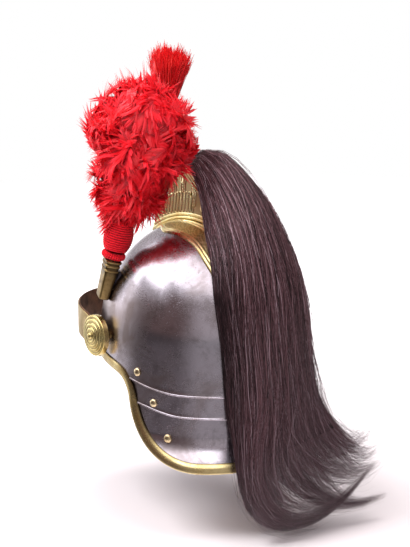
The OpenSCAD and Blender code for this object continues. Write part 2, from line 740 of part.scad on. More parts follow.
function mane_growth(a) =
  (skull_half_length - drawn_length) * sin(a) + (skull_height - drawn_height) * cos(a);
function crest_row(t) =
  let (p = bezier(crest_top_curve, t) - mane_pivot, a = atan2(p[0], p[1]))
    mane_loop(a, mane_pivot[1], 0, lookup(a, mane_widths), lookup(a, mane_outline) + mane_growth(a),
      norm(p) + 0.5, smooth((a - 4) / 12));
function rear_row(a) =
  mane_loop(a, mane_pivot[1], 0, lookup(a, mane_widths), lookup(a, mane_outline) + mane_growth(a),
    a < 78 ? (crest_rear + 1.5 - mane_pivot[0]) / sin(a) : 0, 1);
function hang_row(q) = mane_loop(90, q[0], q[1], q[2], q[3] + mane_growth(90), 0, 1);

function sweep_point(q) = let (c = cos(sweep_heading), s = sin(sweep_heading))
  [c * q[0] + s * q[1], s * q[0] - c * q[1] + mane_growth(90), q[2]];
function sweep_row(q) =
  let (right = sweep_point(q[0]), left = sweep_point(q[1]), n = 2 * mane_sides,
    out = [sin(sweep_heading), -cos(sweep_heading), 0])
    concat(
      [for (j = [0 : n]) let (k = (1 - cos(180 * j / n)) / 2)
        mix(right, left, k) + out * (q[2] * sin(180 * j / n) - lock_depth * (j % 2) * sin(180 * j / n))],
      [for (j = [0 : 12]) let (k = mix(0.995, 0.005, j / 12))
        mix(right, left, k) - out * q[2] * (sqrt(max(0, 1 - pow(2 * k - 1, 2))) + 0.02)]);

// Rows between the last hanging one and the first of the sweep
function turning_row(k) =
  let (a = hang_row(mane_hang[len(mane_hang) - 1]), b = sweep_row(mane_sweep[0]))
    [for (i = [0 : len(a) - 1]) mix(a[i], b[i], k)];

module mane() {
  color([0.2, 0.14, 0.13])
    skin(concat(
      [for (t = [0.46, 0.5, 0.55, 0.61, 0.67, 0.73, 0.79, 0.85, 0.91, 0.96, 1]) crest_row(t)],
      [for (a = [66, 74, 82, 90]) rear_row(a)],
      [for (q = mane_hang) hang_row(q)],
      [for (k = [0.25, 0.5, 0.75]) turning_row(k)],
      [for (q = mane_sweep) sweep_row(q)]));
}

// Plume
module plume_frame() {
  translate(plume_foot) rotate([0, plume_lean, plume_heading]) children();
}

function boxy(k) = sign(k) * pow(abs(k), 0.42);
function oval_ring(half, s, n = 24) = [for (i = [0 : n - 1]) let (a = 360 * (i + 0.5) / n)
  [half[0] * boxy(cos(a)), half[1] * boxy(sin(a)), s]];
function holder_half(s, out) = mix(holder_foot, holder_top, s / holder_length) + [out, out];

// Mouldings at the holder's mouth: [from its top, out]
holder_steps = [[-12, 0], [-11.5, 0.6], [-10, 0.6], [-9.5, 0], [-7.2, 0], [-6.6, 0.8], [-4.8, 0.8],
  [-4.2, 0.1], [-2.6, 0.1], [-2, 1.1], [0, 1.1]];

module plume_holder() {
  h = holder_length;
  foot = 2;
  color("DarkGoldenrod")
    plume_frame()
      rotate([0, 0, holder_turn])
        spindle([
          oval_ring(holder_half(0, -0.8), 0), oval_ring(holder_half(0, 0), 1),
          for (q = holder_steps) oval_ring(holder_half(h + q[0], q[1]), h + q[0]),
          oval_ring(holder_half(h, -holder_sheet), h), oval_ring(holder_half(foot, -holder_sheet), foot)]);
}

module plume_stem() {
  play = holder_sheet + 0.35;
  foot = 2.4;
  shoulder = holder_length - 1.5;
  color("Sienna")
    plume_frame()
      rotate([0, 0, holder_turn])
        spindle([
          oval_ring(holder_half(foot, -play), foot), oval_ring(holder_half(shoulder, -play), shoulder),
          oval_ring(stem_neck, shoulder + 0.3), oval_ring(stem_neck, collar_at - collar_tube + 1)]);
}

module plume_collar() {
  color("Firebrick")
    plume_frame()
      translate([0, 0, collar_at])
        difference() {
          rotate_extrude($fn = 48) translate([collar_ring, 0]) circle(collar_tube, $fn = 32);
          translate([0, 0, -collar_tube - 1]) cylinder(h = collar_tube + 2.3, r = 8.6, $fn = 48);
        }
}

core_radius = olive_diameter / 2 - thread - seat;
function core_at(a) = olive_at - (olive_length / 2 - thread - seat) * cos(a);

module olive_core() {
  low = winding_from - 1;
  high = winding_to + 3;
  foot = collar_at + 1.6;
  color("Sienna")
    plume_frame()
      rotate_extrude($fn = 48)
        polygon(concat(
          [[0, foot], [collar_ring - 4.6, foot], [collar_ring - 4.6, core_at(low)]],
          [for (a = [low : (high - low) / 12 : high + 0.01]) [core_radius * sin(a), core_at(a)]],
          [[neck_radius, core_at(high) + 0.5], [neck_radius, neck_end], [0, neck_end]]));
}

// The thread winds from the collar's end to the neck as one tube
winding_rings = 24;
winding_steps = olive_turns * winding_rings;
wind_radius = core_radius + seat + thread / 2;
wind_half = olive_length / 2 - thread / 2;
function wound(i) = let (a = mix(winding_from, winding_to, i / winding_steps), b = 360 * i / winding_rings)
  [wind_radius * sin(a) * cos(b), wind_radius * sin(a) * sin(b), olive_at - wind_half * cos(a)];
function wound_way(i) = unit(wound(i + 0.5) - wound(i - 0.5));
winding_points = concat(
  [wound(0) - wound_way(0) * thread], [for (i = [0 : winding_steps]) wound(i)],
  [wound(winding_steps) + wound_way(winding_steps) * thread]);
function tube_ring(i) =
  let (m = len(winding_points) - 1, p = winding_points[i],
    way = unit(winding_points[min(m, i + 1)] - winding_points[max(0, i - 1)]),
    u = unit(cross(way, p - [0, 0, olive_at])), v = cross(u, way))
    [for (k = [0 : 5]) p + thread / 2 * (cos(60 * k) * v + sin(60 * k) * u)];
winding_gap = min([for (i = [0 : 2 : winding_steps])
  min(concat([100], [for (j = [i + winding_rings * 0.7 : 1 : min(winding_steps, i + winding_rings * 1.3)])
    norm(wound(i) - wound(j))]))]) - thread;
echo(least_gap_in_winding = winding_gap);

module olive_winding() {
  color("Red")
    plume_frame()
      spindle([for (i = [0 : len(winding_points) - 1]) tube_ring(i)]);
}

function feather_loop(q) =
  let (c = cos(sweep_heading), s = sin(sweep_heading), u = (q[1] + q[2]) / 2, half = (q[2] - q[1]) / 2,
    v = lookup(q[0], feather_depth))
    [for (i = [0 : feather_sides - 1])
      let (a = 360 * i / feather_sides, k = 1 - 0.07 * (i % 2), x = u + half * k * cos(a),
        y = v + q[3] * k * sin(a), low = feather_rows[0][0] - 3, high = feather_rows[len(feather_rows) - 1][0])
        [c * x + s * y, s * x - c * y,
          q[0] + 2 * sin(3 * a + q[0] * 11) * sin(180 * clip((q[0] - low) / (high - low)))]];

module feathers() {
  color("Crimson")
    translate(plume_point([0, 0, neck_end]) - feathers_drawn_at)
      spindle([for (q = feather_rows) [for (i = [feather_sides - 1 : -1 : 0]) feather_loop(q)[i]]]);
}

// The bracket fills the wedge between the holder's back and the skull
module holder_bracket() {
  half = 4.5;
  foot = 3;
  top = holder_length - 12;
  color("SlateGray")
    skin([for (i = [0 : 7])
      let (s = mix(foot, top, i / 7),
        a = plume_point([-half, holder_half(s, 0)[1] + seat + 0.1, s]),
        b = plume_point([half, holder_half(s, 0)[1] + seat + 0.1, s]))
        [a, b, skull_under(b), skull_under(a)]]);
}

// A point of the holder's own frame, in the helmet's frame
function turned(v, a) = [v[0] * cos(a) - v[1] * sin(a), v[0] * sin(a) + v[1] * cos(a), v[2]];
function leant(v, a) = [v[0] * cos(a) + v[2] * sin(a), v[1], -v[0] * sin(a) + v[2] * cos(a)];
function plume_point(v) = plume_foot + turned(leant(turned(v, holder_turn), plume_lean), plume_heading);
// The place on the skull straight inwards of a point on its left side
function skull_under(p) =
  [(skull_half_width + seat)
    * sqrt(1 - pow(p[1] / (skull_half_length + seat), 2) - pow(p[2] / (skull_height + seat), 2)), p[1], p[2]];

// Rosettes and studs
// Profile of the rosette's face from its rim to its boss: [radius, height over the wall]
rosette_face = [[21.7, -0.5], [20.9, 0.4], [19.5, 0.1], [18.7, 0.7], [17.3, 1.5], [15.7, 1.1], [14.7, 1.8],
  [13.1, 2.5], [11.5, 2.1], [10.3, 2.8], [8.5, 3.2], [7.1, 2.7], [4.4, 3], [3.4, 4], [1.9, 5], [0.8, 5.4],
  [0, 5.5]];

module rosette() {
  r = rosette_diameter / 2;
  rotate_extrude($fn = 64)
    polygon(concat(
      [[0, 0], [r - 0.6, 0], [r, 0.6]],
      [for (q = rosette_face) [q[0] < 5 ? q[0] : r - 21.7 + q[0], rosette_wall + q[1]]]));
}

module rosette_seated() {
  translate([rosette_at, axis_y, 0])
    rotate([0, 90, -rosette_turn])
      rosette();
  translate([rosette_at - rosette_neck, axis_y, 0])
    rotate([0, 90, 0])
      cylinder(h = rosette_neck + 0.6, r = 5, $fn = 40);
}

module left_rosette() {
  color("Gold") rosette_seated();
}

module right_rosette() {
  color("Gold") mirror([1, 0, 0]) rosette_seated();
}

stud_angle = acos(-axis_y / skull_half_length);

module stud() {
  foot = on_skull(stud_angle, 0);
  way = skull_way(stud_angle);
  translate(foot + way * seat)
    rotate([0, 90, atan2(way[1], way[0])])
      cylinder(h = 1.4, r = 4.4, $fn = 40);
  translate([foot[0] + 1, axis_y, 0])
    rotate([0, 90, 0])
      cylinder(h = rosette_at - rosette_neck - 0.1 - foot[0] - 1, r = stud_radius, $fn = 40);
}

module left_stud() {
  color("Silver") stud();
}

module right_stud() {
  color("Silver") mirror([1, 0, 0]) stud();
}

// Chin strap
function strap_point(a, out) =
  [(strap_half_width + out) * sin(a), strap_centre - (strap_reach + out) * cos(a)];
function strap_height(y) = strap_rise * (axis_y - y) / (axis_y - strap_centre + strap_reach);
function strap_half(y) = mix(strap_end, strap_width / 2, smooth((axis_y - y - 3) / 30));
function strap_loop(a, out, thick, trim) =
  let (p = strap_point(a, out), q = strap_point(a, out + thick), z = strap_height(p[1]),
    h = strap_half(p[1]) - trim)
    [[p[0], p[1], z - h], [p[0], p[1], z + h], [q[0], q[1], z + h], [q[0], q[1], z - h]];

module strap_tab() {
  y0 = strap_centre;
  z = strap_height(y0);
  h = strap_half(y0);
  upright(strap_half_width, strap_leather)
    difference() {
      union() {
        polygon([[y0, z - h], [axis_y, -strap_end], [axis_y, strap_end], [y0, z + h]]);
        translate([axis_y, 0]) circle(strap_end, $fn = 48);
      }
      translate([axis_y, 0]) circle(eyelet_radius + 0.2, $fn = 32);
    }
}

module strap_lining() {
  color("SaddleBrown") {
    skin([for (i = [0 : 40]) strap_loop(mix(-90, 90, i / 40), 0, strap_leather, 0)]);
    strap_tab();
    mirror([1, 0, 0]) strap_tab();
  }
}

module strap_facing_left() {
  from = asin(clasp_half / strap_half_width) + 0.6;
  color("BurlyWood")
    skin([for (i = [0 : 20])
      strap_loop(mix(from, facing_end, i / 20), strap_leather + facing_gap, strap_facing, 1)]);
}

module strap_facing_right() {
  from = asin(clasp_half / strap_half_width) + 0.6;
  color("BurlyWood")
    skin([for (i = [0 : 20])
      strap_loop(mix(-facing_end, -from, i / 20), strap_leather + facing_gap, strap_facing, 1)]);
}

// A plain clasp joins the facings at the front
module strap_clasp() {
  a = asin(clasp_half / strap_half_width) - 0.2;
  color("Gold")
    skin([for (i = [0 : 4]) strap_loop(mix(-a, a, i / 4), strap_leather + facing_gap, 1.6, 3)]);
}

module eyelet() {
  translate([strap_half_width, axis_y, 0])
    rotate([0, 90, 0])
      rotate_extrude($fn = 40)
        polygon([[stud_radius + stud_play, 0], [eyelet_radius, 0], [eyelet_radius, strap_leather + 0.2],
          [eyelet_radius + 1.6, strap_leather + 0.2], [eyelet_radius + 1.6, strap_leather + eyelet_head],
          [stud_radius + stud_play, strap_leather + eyelet_head]]);
}

module strap_eyelets() {
  color("Gold") {
    eyelet();
    mirror([1, 0, 0]) eyelet();
  }
}

// Lining inside the skull
function band_out(z) = -sheet - 0.9 - 4.4 * (z - band_low) / (band_high - band_low);

module sweatband() {
  color("SaddleBrown")
    hoop([for (i = [0 : columns - 1]) let (t = 360 * i / columns)
      [on_skull(t, band_high, band_out(band_high)), on_skull(t, band_low, band_out(band_low)),
        on_skull(t, band_low, band_out(band_low) - band_sheet),
        on_skull(t, band_high, band_out(band_high) - band_sheet)]]);
}

function leaf_out(z) = band_out(z) - band_sheet - 0.6;
function leaf_loop(t, z, spread) = concat(
  [for (k = [-1, 0, 1]) on_skull(t + k * spread, z, leaf_out(z))],
  [for (k = [1, 0, -1]) on_skull(t + k * spread, z, leaf_out(z) - leaf_sheet)]);

module lining_leaves() {
  color("Peru")
    for (i = [0 : leaf_count - 1])
      skin([for (k = [0 : 5])
        leaf_loop(360 * (i + 0.5) / leaf_count, mix(leaf_foot, leaf_tip, pow(k / 5, 0.85)),
          mix(leaf_spread[0], leaf_spread[1], k / 5))]);
}

skull();
middle_lame();
lower_lame();
neck_edging();
neck_rivets();
back_strips();
visor();
visor_edging();
crest_base();
crest_left_plate();
crest_right_plate();
crest_front_plate();
crest_cap();
crest_channel();
mane_root();
mane();
tuft_socket();
tuft_plug();
tuft();
plume_holder();
holder_bracket();
plume_stem();
plume_collar();
olive_core();
olive_winding();
feathers();
left_rosette();
right_rosette();
left_stud();
right_stud();
strap_lining();
strap_facing_left();
strap_facing_right();
strap_clasp();
strap_eyelets();
sweatband();
lining_leaves();
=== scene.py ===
import math
import bpy
import numpy as np
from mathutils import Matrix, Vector


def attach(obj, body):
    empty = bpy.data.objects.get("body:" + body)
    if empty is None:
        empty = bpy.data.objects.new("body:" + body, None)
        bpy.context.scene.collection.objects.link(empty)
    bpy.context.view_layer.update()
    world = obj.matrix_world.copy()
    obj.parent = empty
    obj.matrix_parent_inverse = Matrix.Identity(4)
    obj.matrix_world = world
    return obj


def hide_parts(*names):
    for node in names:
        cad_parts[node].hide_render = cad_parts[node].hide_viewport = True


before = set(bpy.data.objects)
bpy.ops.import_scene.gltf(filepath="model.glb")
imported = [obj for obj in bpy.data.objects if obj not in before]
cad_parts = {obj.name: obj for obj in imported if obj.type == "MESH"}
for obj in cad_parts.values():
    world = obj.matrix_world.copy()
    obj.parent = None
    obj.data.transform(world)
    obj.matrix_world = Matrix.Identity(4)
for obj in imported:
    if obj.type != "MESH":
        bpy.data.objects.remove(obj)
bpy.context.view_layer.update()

mm = 0.001
pi = math.pi


# Colours, nodes and meshes

def linearColour(hexText):
    parts = [int(hexText[i:i + 2], 16) / 255 for i in (1, 3, 5)]
    return [p / 12.92 if p <= 0.04045 else ((p + 0.055) / 1.055) ** 2.4 for p in parts] + [1.0]


def socketOf(sockets, key):
    for s in sockets:
        if s.identifier == key:
            return s
    return sockets[key]


def setInputs(node, inputs):
    for key, value in inputs.items():
        socket = socketOf(node.inputs, key)
        if isinstance(value, bpy.types.NodeSocket):
            node.id_data.links.new(value, socket)
        else:
            socket.default_value = value


def addNode(tree, kind, inputs=None, **settings):
    node = tree.nodes.new(kind)
    for key, value in settings.items():
        setattr(node, key, value)
    setInputs(node, inputs or {})
    return node


def mathOf(tree, operation, *values):
    return addNode(tree, "ShaderNodeMath", dict(enumerate(values)), operation=operation).outputs[0]


def vectorOf(tree, operation, first, second):
    inputs = {0: first, "Scale" if operation == "SCALE" else 1: second}
    node = addNode(tree, "ShaderNodeVectorMath", inputs, operation=operation)
    return node.outputs["Value" if operation in ("DISTANCE", "DOT_PRODUCT") else "Vector"]


def partsOf(tree, vector):
    return addNode(tree, "ShaderNodeSeparateXYZ", {0: vector}).outputs


def newMaterial(name, **values):
    material = bpy.data.materials.new(name)
    material.use_nodes = True
    tree = material.node_tree
    tree.nodes.clear()
    shader = addNode(tree, "ShaderNodeBsdfPrincipled", values)
    addNode(tree, "ShaderNodeOutputMaterial", {"Surface": shader.outputs["BSDF"]})
    return material, tree, shader


# mixes two colours; either may be a hex text or a socket
def blendColours(tree, amount, first, second):
    a = linearColour(first) if isinstance(first, str) else first
    b = linearColour(second) if isinstance(second, str) else second
    node = addNode(tree, "ShaderNodeMix", {"Factor_Float": amount, "A_Color": a, "B_Color": b},
                   data_type="RGBA")
    return socketOf(node.outputs, "Result_Color")


def ramp(tree, value, low, high, bottom=0.0, top=1.0):
    node = addNode(tree, "ShaderNodeMapRange",
                   {"Value": value, "From Min": low, "From Max": high, "To Min": bottom, "To Max": top})
    return node.outputs["Result"]


def objectPlace(tree):
    return addNode(tree, "ShaderNodeTexCoord").outputs["Object"]


def noiseAt(tree, vector, size, detail=3.0, rough=0.55, distortion=0.0):
    node = addNode(tree, "ShaderNodeTexNoise",
                   {"Vector": vector, "Scale": 1 / (size * mm), "Detail": detail, "Roughness": rough,
                    "Distortion": distortion})
    return node.outputs["Fac"]


def attributeOf(tree, name):
    return addNode(tree, "ShaderNodeAttribute", attribute_name=name).outputs["Fac"]


# a bump from a height; distance in mm
def bumpOf(tree, height, strength, distance, below=None):
    inputs = {"Height": height, "Strength": strength, "Distance": distance * mm}
    if below is not None:
        inputs["Normal"] = below
    return addNode(tree, "ShaderNodeBump", inputs).outputs["Normal"]


def addObject(name, data):
    obj = bpy.data.objects.new(name, data)
    bpy.context.scene.collection.objects.link(obj)
    return obj


def pointMesh(name, points, edges=(), faces=()):
    mesh = bpy.data.meshes.new(name)
    mesh.from_pydata((np.asarray(points, float).reshape(-1, 3) * mm).tolist(), edges, faces)
    return mesh


def addPiece(name, points, faces, material, body, nodes, slot, smoothAngle, recess=None):
    mesh = pointMesh(name, points, (), faces)
    mesh.validate()
    mesh.update()
    if recess is not None:
        mark = mesh.attributes.new("recess", "FLOAT", "POINT")
        mark.data.foreach_set("value", np.asarray(recess, np.float32).ravel())
    mesh.materials.append(material)
    finishPiece(addObject(name, mesh), body, nodes, smoothAngle)


def finishPiece(obj, body, nodes, smoothAngle):
    mesh = obj.data
    mesh.polygons.foreach_set("use_smooth", [True] * len(mesh.polygons))
    if smoothAngle:
        mesh.set_sharp_from_angle(angle=math.radians(smoothAngle))
    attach(obj, body)
    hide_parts(*nodes)


# faces over rows of equal loops
def rowFaces(m, n, closedRows=False, closedLoop=True, start=0):
    faces = []
    for i in range(m if closedRows else m - 1):
        k = (i + 1) % m
        for j in range(n if closedLoop else n - 1):
            l = (j + 1) % n
            faces.append((start + i * n + j, start + i * n + l, start + k * n + l, start + k * n + j))
    return faces


# turns every face of a closed mesh outwards
def turnOutward(points, faces):
    p = np.asarray(points, float).reshape(-1, 3)
    volume = 0.0
    for f in faces:
        for a in range(1, len(f) - 1):
            volume += np.dot(p[f[0]], np.cross(p[f[a]], p[f[a + 1]]))
    return faces if volume > 0 else [tuple(reversed(f)) for f in faces]


# the border of a grid of m rows of n, once round
def gridBorder(m, n):
    return [*range(n), *(i * n + n - 1 for i in range(1, m)), *((m - 1) * n + j for j in range(n - 2, -1, -1)),
            *(i * n for i in range(m - 2, 0, -1))]


# loops joined in a row and closed by a cap at each end
def skinLoops(loops):
    loops = np.asarray(loops, float)
    m, n = loops.shape[:2]
    faces = rowFaces(m, n) + [tuple(range(n))[::-1], tuple((m - 1) * n + j for j in range(n))]
    points = loops.reshape(-1, 3)
    return points, turnOutward(points, faces)


def smoothStep(x):
    x = np.clip(x, 0, 1)
    return x * x * (3 - 2 * x)


def bezier(c, t):
    c = np.asarray(c, float)
    t = np.asarray(t, float)[..., None]
    return (1 - t) ** 2 * c[0] + 2 * t * (1 - t) * c[1] + t * t * c[2]


# a curve led by four places, at t along it
def cubic(a, b, c, d, t):
    return (1 - t) ** 3 * a + 3 * t * (1 - t) ** 2 * b + 3 * t * t * (1 - t) * c + t ** 3 * d


def unit(v):
    v = np.asarray(v, float)
    return v / np.maximum(np.linalg.norm(v, axis=-1, keepdims=True), 1e-9)


# cosine and sine of an angle in degrees
def turned(degrees):
    return math.cos(math.radians(degrees)), math.sin(math.radians(degrees))


# The helmet's measures, as in the part's source

helmet = dict(halfWidth=94, halfLength=116, height=118, sheet=1.2, browDrop=26, napeDrop=47,
              guardDrop=122.5, lameStep=22, lameLap=15, lameSheet=1.0, lapGap=0.3, flare=0.05,
              flareStart=50, flareSpan=72, cornerAngle=134, cornerReach=41, cornerTop=44, guardRise=3.5,
              edgingStart=58, hidden=1.8, seat=0.3)
middleInset = helmet["sheet"] + helmet["lapGap"]
lowerInset = middleInset + helmet["lameSheet"] + helmet["lapGap"]
slotDepth = lowerInset + helmet["lameSheet"] + helmet["seat"]


def girth(z, out=0.0):
    h = helmet
    top = np.sqrt(np.maximum(0, 1 - (z / (h["height"] + out)) ** 2))
    low = 1 + h["flare"] * (np.minimum(0, z + h["flareStart"]) / h["flareSpan"]) ** 2
    return np.where(np.asarray(z) >= 0, top, low)


# the place on the skull at t degrees round from the front and height z, moved out
def onSkull(t, z, out=0.0):
    a = np.radians(t)
    g = girth(z, out)
    x = (helmet["halfWidth"] + out) * g * np.sin(a)
    y = -(helmet["halfLength"] + out) * g * np.cos(a)
    return np.stack(np.broadcast_arrays(x, y, z), -1)


# the way out of the skull there
def skullWay(t, z=0.0):
    h = helmet
    a = np.radians(np.asarray(t, float))
    side = unit(np.stack([h["halfLength"] * np.sin(a), -h["halfWidth"] * np.cos(a), 0 * a], -1))
    lift = -2 * h["flare"] * np.minimum(0, z + h["flareStart"]) / h["flareSpan"] ** 2 * h["halfLength"]
    return unit(side + np.stack(np.broadcast_arrays(0 * a, 0 * a, lift), -1))


# height of the dome over (x, y)
def domeHeight(x, y, out):
    h, w, l = helmet["height"] + out, helmet["halfWidth"] + out, helmet["halfLength"] + out
    return h * np.sqrt(1 - (x / w) ** 2 - (y / l) ** 2)


def foldAngle(t):
    t = np.abs(np.asarray(t, float))
    return np.where(t > 180, 360 - t, t)


def skullEdge(t):
    return -(helmet["browDrop"] + (helmet["napeDrop"] - helmet["browDrop"]) * smoothStep((foldAngle(t) - 58) / 70))


def middleEdge(t):
    return -(helmet["napeDrop"] + helmet["lameStep"]) + 9 * (1 - smoothStep((foldAngle(t) - 92) / 35))


def guardEdge(t, hide=0.0):
    h = helmet
    f = foldAngle(t)
    k = (h["cornerAngle"] - f) / (h["cornerReach"] - hide * 0.6)
    corner = -h["cornerTop"] + hide - (h["guardDrop"] - h["cornerTop"] - hide / 2) * np.sqrt(np.maximum(0, 1 - k * k))
    back = -h["guardDrop"] + hide + h["guardRise"] * smoothStep((f - h["cornerAngle"]) / 46)
    return np.where(f < h["cornerAngle"], corner, back)


def cornerAngles(start, count):
    a = np.radians(np.linspace(start, 89.2, count))
    return helmet["cornerAngle"] - (helmet["cornerReach"] - helmet["hidden"] * 0.6) * np.cos(a)


def bothSides(half):
    half = np.asarray(half, float)
    return np.concatenate([half, 360 - half[-2::-1]])


# The scene around the helmet

scene = bpy.context.scene
scene.view_settings.view_transform = "Standard"

# the photograph's viewpoint: 140 degrees round from the front, 8 degrees up, 1.1 metres away
view = dict(azimuth=140, elevation=8, distance=1.1, pixelsPerMm=0.935, axisPixel=(196, 330), frame=(410, 547),
            sensor=36, clip=(0.05, 40), floorAt=-189.5)


def setCamera():
    (aCos, aSin), (eCos, eSin) = turned(view["azimuth"]), turned(view["elevation"])
    back = Vector((aSin * eCos, -aCos * eCos, eSin))
    right = Vector((aCos, aSin, 0))
    up = back.cross(right)
    focal = view["pixelsPerMm"] * view["distance"] / mm
    cam = bpy.data.cameras.new("camera")
    camera = addObject("camera", cam)
    cam.sensor_width = view["sensor"]
    cam.lens = focal * cam.sensor_width / view["frame"][1]
    dx = (view["axisPixel"][0] - view["frame"][0] / 2) / view["pixelsPerMm"] * mm
    dy = (view["frame"][1] / 2 - view["axisPixel"][1]) / view["pixelsPerMm"] * mm
    camera.location = back * view["distance"] - right * dx - up * dy
    camera.rotation_mode = "QUATERNION"
    camera.rotation_quaternion = back.to_track_quat("Z", "Y")
    cam.clip_start, cam.clip_end = view["clip"]
    scene.camera = camera


setCamera()


# what the metal mirrors, in degrees: [azimuth from, to, elevation from, to, softness, brightness];
# a wide high window whose left half reaches lower, a narrow pane under it, pale walls to the left, a dim one on the
# viewer's side and a half-lit ceiling, with a dark room between
room = dict(dark="#6E5C58", light="#FFFFFF", daylight=0.36, windowStrength=3.0, windows=(
    (-2, 150, 36, 80, 7, 1.0), (-2, 78, 25, 50, 7, 1.0), (23, 41, 0, 42, 6, 1.0), (-80, 44, -30, 14, 9, 0.95),
    (-80, 20, 10, 45, 14, 0.62), (112, 178, -15, 36, 12, 0.4), (-180, 180, 72, 91, 18, 0.5)))


# degrees round from the front of a way or a place
def headingOf(tree, parts):
    turn = mathOf(tree, "ARCTAN2", parts["X"], mathOf(tree, "MULTIPLY", parts["Y"], -1.0))
    return mathOf(tree, "DEGREES", turn)


def setWorld():
    world = bpy.data.worlds.new("studio")
    scene.world = world
    world.use_nodes = True
    tree = world.node_tree
    tree.nodes.clear()
    ray = addNode(tree, "ShaderNodeLightPath").outputs
    way = partsOf(tree, addNode(tree, "ShaderNodeTexCoord").outputs["Generated"])
    azimuth = headingOf(tree, way)
    elevation = mathOf(tree, "DEGREES", mathOf(tree, "ARCSINE", way["Z"]))
    glow = 0.0
    for left, right, low, high, soft, brightness in room["windows"]:
        lit = ramp(tree, azimuth, left - soft, left + soft)
        for pane in (ramp(tree, azimuth, right + soft, right - soft), ramp(tree, elevation, low - soft, low + soft),
                     ramp(tree, elevation, high + soft, high - soft), brightness):
            lit = mathOf(tree, "MULTIPLY", lit, pane)
        glow = mathOf(tree, "MAXIMUM", lit, glow)

    def background(colour, strength):
        return addNode(tree, "ShaderNodeBackground", {"Color": colour, "Strength": strength}).outputs[0]

    def mixed(amount, first, second):
        return addNode(tree, "ShaderNodeMixShader", {0: amount, 1: first, 2: second}).outputs[0]

    seen = background(linearColour("#FFFFFF"), 1.0)
    mirror = background(blendColours(tree, glow, room["dark"], room["light"]),
                        ramp(tree, glow, 0.8, 1, 1, room["windowStrength"]))
    light = background(linearColour("#F7F4FA"), room["daylight"])
    glossy = mathOf(tree, "MAXIMUM", ray["Is Glossy Ray"], ray["Is Transmission Ray"])
    last = mixed(ray["Is Camera Ray"], mixed(glossy, light, mirror), seen)
    addNode(tree, "ShaderNodeOutputWorld", {"Surface": last})


setWorld()

# [place, size, watts, colour], every lamp aimed at the skull
lampAim = Vector((0, 0, 0.03))
lamps = dict(window=((790, -290, 1250), 700, 25, "#FFFFFF"), above=((-200, 100, 1500), 900, 20, "#FFFBF8"),
             viewer=((950, 850, 950), 900, 10, "#FFF6F2"))


def addLamps():
    for name, (place, size, watts, colour) in lamps.items():
        lamp = bpy.data.lights.new(name, "AREA")
        lamp.size = size * mm
        lamp.energy = watts
        lamp.color = linearColour(colour)[:3]
        obj = addObject(name, lamp)
        obj.location = Vector(place) * mm
        obj.visible_glossy = False  # the metal mirrors the room's windows instead
        obj.rotation_mode = "QUATERNION"
        obj.rotation_quaternion = (Vector(place) * mm - lampAim).to_track_quat("Z", "Y")


addLamps()


# the table: its own glow for the camera, then what the metal mirrors of it, as ramps of
# [from, to, glow at from, glow at to], over metres from the centre or degrees round from the front
table = dict(half=6000, centre=(0.02, 0.04, 0), plain="#E6DFE2", mirrored="#30292A", tintFade=(0.2, 0.45),
             seen=(0.27, 0.8, 0.0, 1.0), near=(0.18, 0.36, 0.5, 0.22), far=(0.5, 1.3, 1.0, 0.1),
             fade=(0.3, 0.45, 1.0, 0.35), left=(54, 38, 0, 0.85), right=(98, 122, 0.03, 0.3))


# White table laminate: matt off-white, so that it keeps the soft shadow; its glow whitens it away from the helmet
def addFloor():
    r, z = table["half"], view["floorAt"]
    mesh = pointMesh("floor", [(-r, -r, z), (r, -r, z), (r, r, z), (-r, r, z)], (), [(0, 1, 2, 3)])
    floor = addObject("floor", mesh)
    material = bpy.data.materials.new("white table laminate")
    material.use_nodes = True
    tree = material.node_tree
    tree.nodes.clear()
    ray = addNode(tree, "ShaderNodeLightPath").outputs
    place = objectPlace(tree)
    away = vectorOf(tree, "DISTANCE", place, table["centre"])
    heading = headingOf(tree, partsOf(tree, place))
    # painted reflection: in the metal the table glows bright close by and to the left, dark in between and dim on the
    # viewer's side, and its colour turns dark further out
    near, far, fade = (ramp(tree, away, *table[name]) for name in ("near", "far", "fade"))
    left, right = (ramp(tree, heading, *table[name]) for name in ("left", "right"))
    mirrored = mathOf(tree, "MULTIPLY", mathOf(tree, "MINIMUM", near, far), fade)
    mirrored = mathOf(tree, "MAXIMUM", mirrored, mathOf(tree, "MAXIMUM", left, right))
    strength = mathOf(tree, "ADD", mathOf(tree, "MULTIPLY", ray["Is Camera Ray"], ramp(tree, away, *table["seen"])),
                      mathOf(tree, "MULTIPLY", ray["Is Glossy Ray"], mirrored))
    amount = mathOf(tree, "MULTIPLY", ray["Is Glossy Ray"], ramp(tree, away, *table["tintFade"]))
    matt = addNode(tree, "ShaderNodeBsdfDiffuse",
                   {"Color": blendColours(tree, amount, table["plain"], table["mirrored"])})
    glow = addNode(tree, "ShaderNodeEmission", {"Color": linearColour("#FFFFFF"), "Strength": strength})
    both = addNode(tree, "ShaderNodeAddShader", {0: matt.outputs[0], 1: glow.outputs[0]})
    addNode(tree, "ShaderNodeOutputMaterial", {"Surface": both.outputs[0]})
    mesh.materials.append(material)


addFloor()
print("stage: camera, lamps and floor")


# Materials

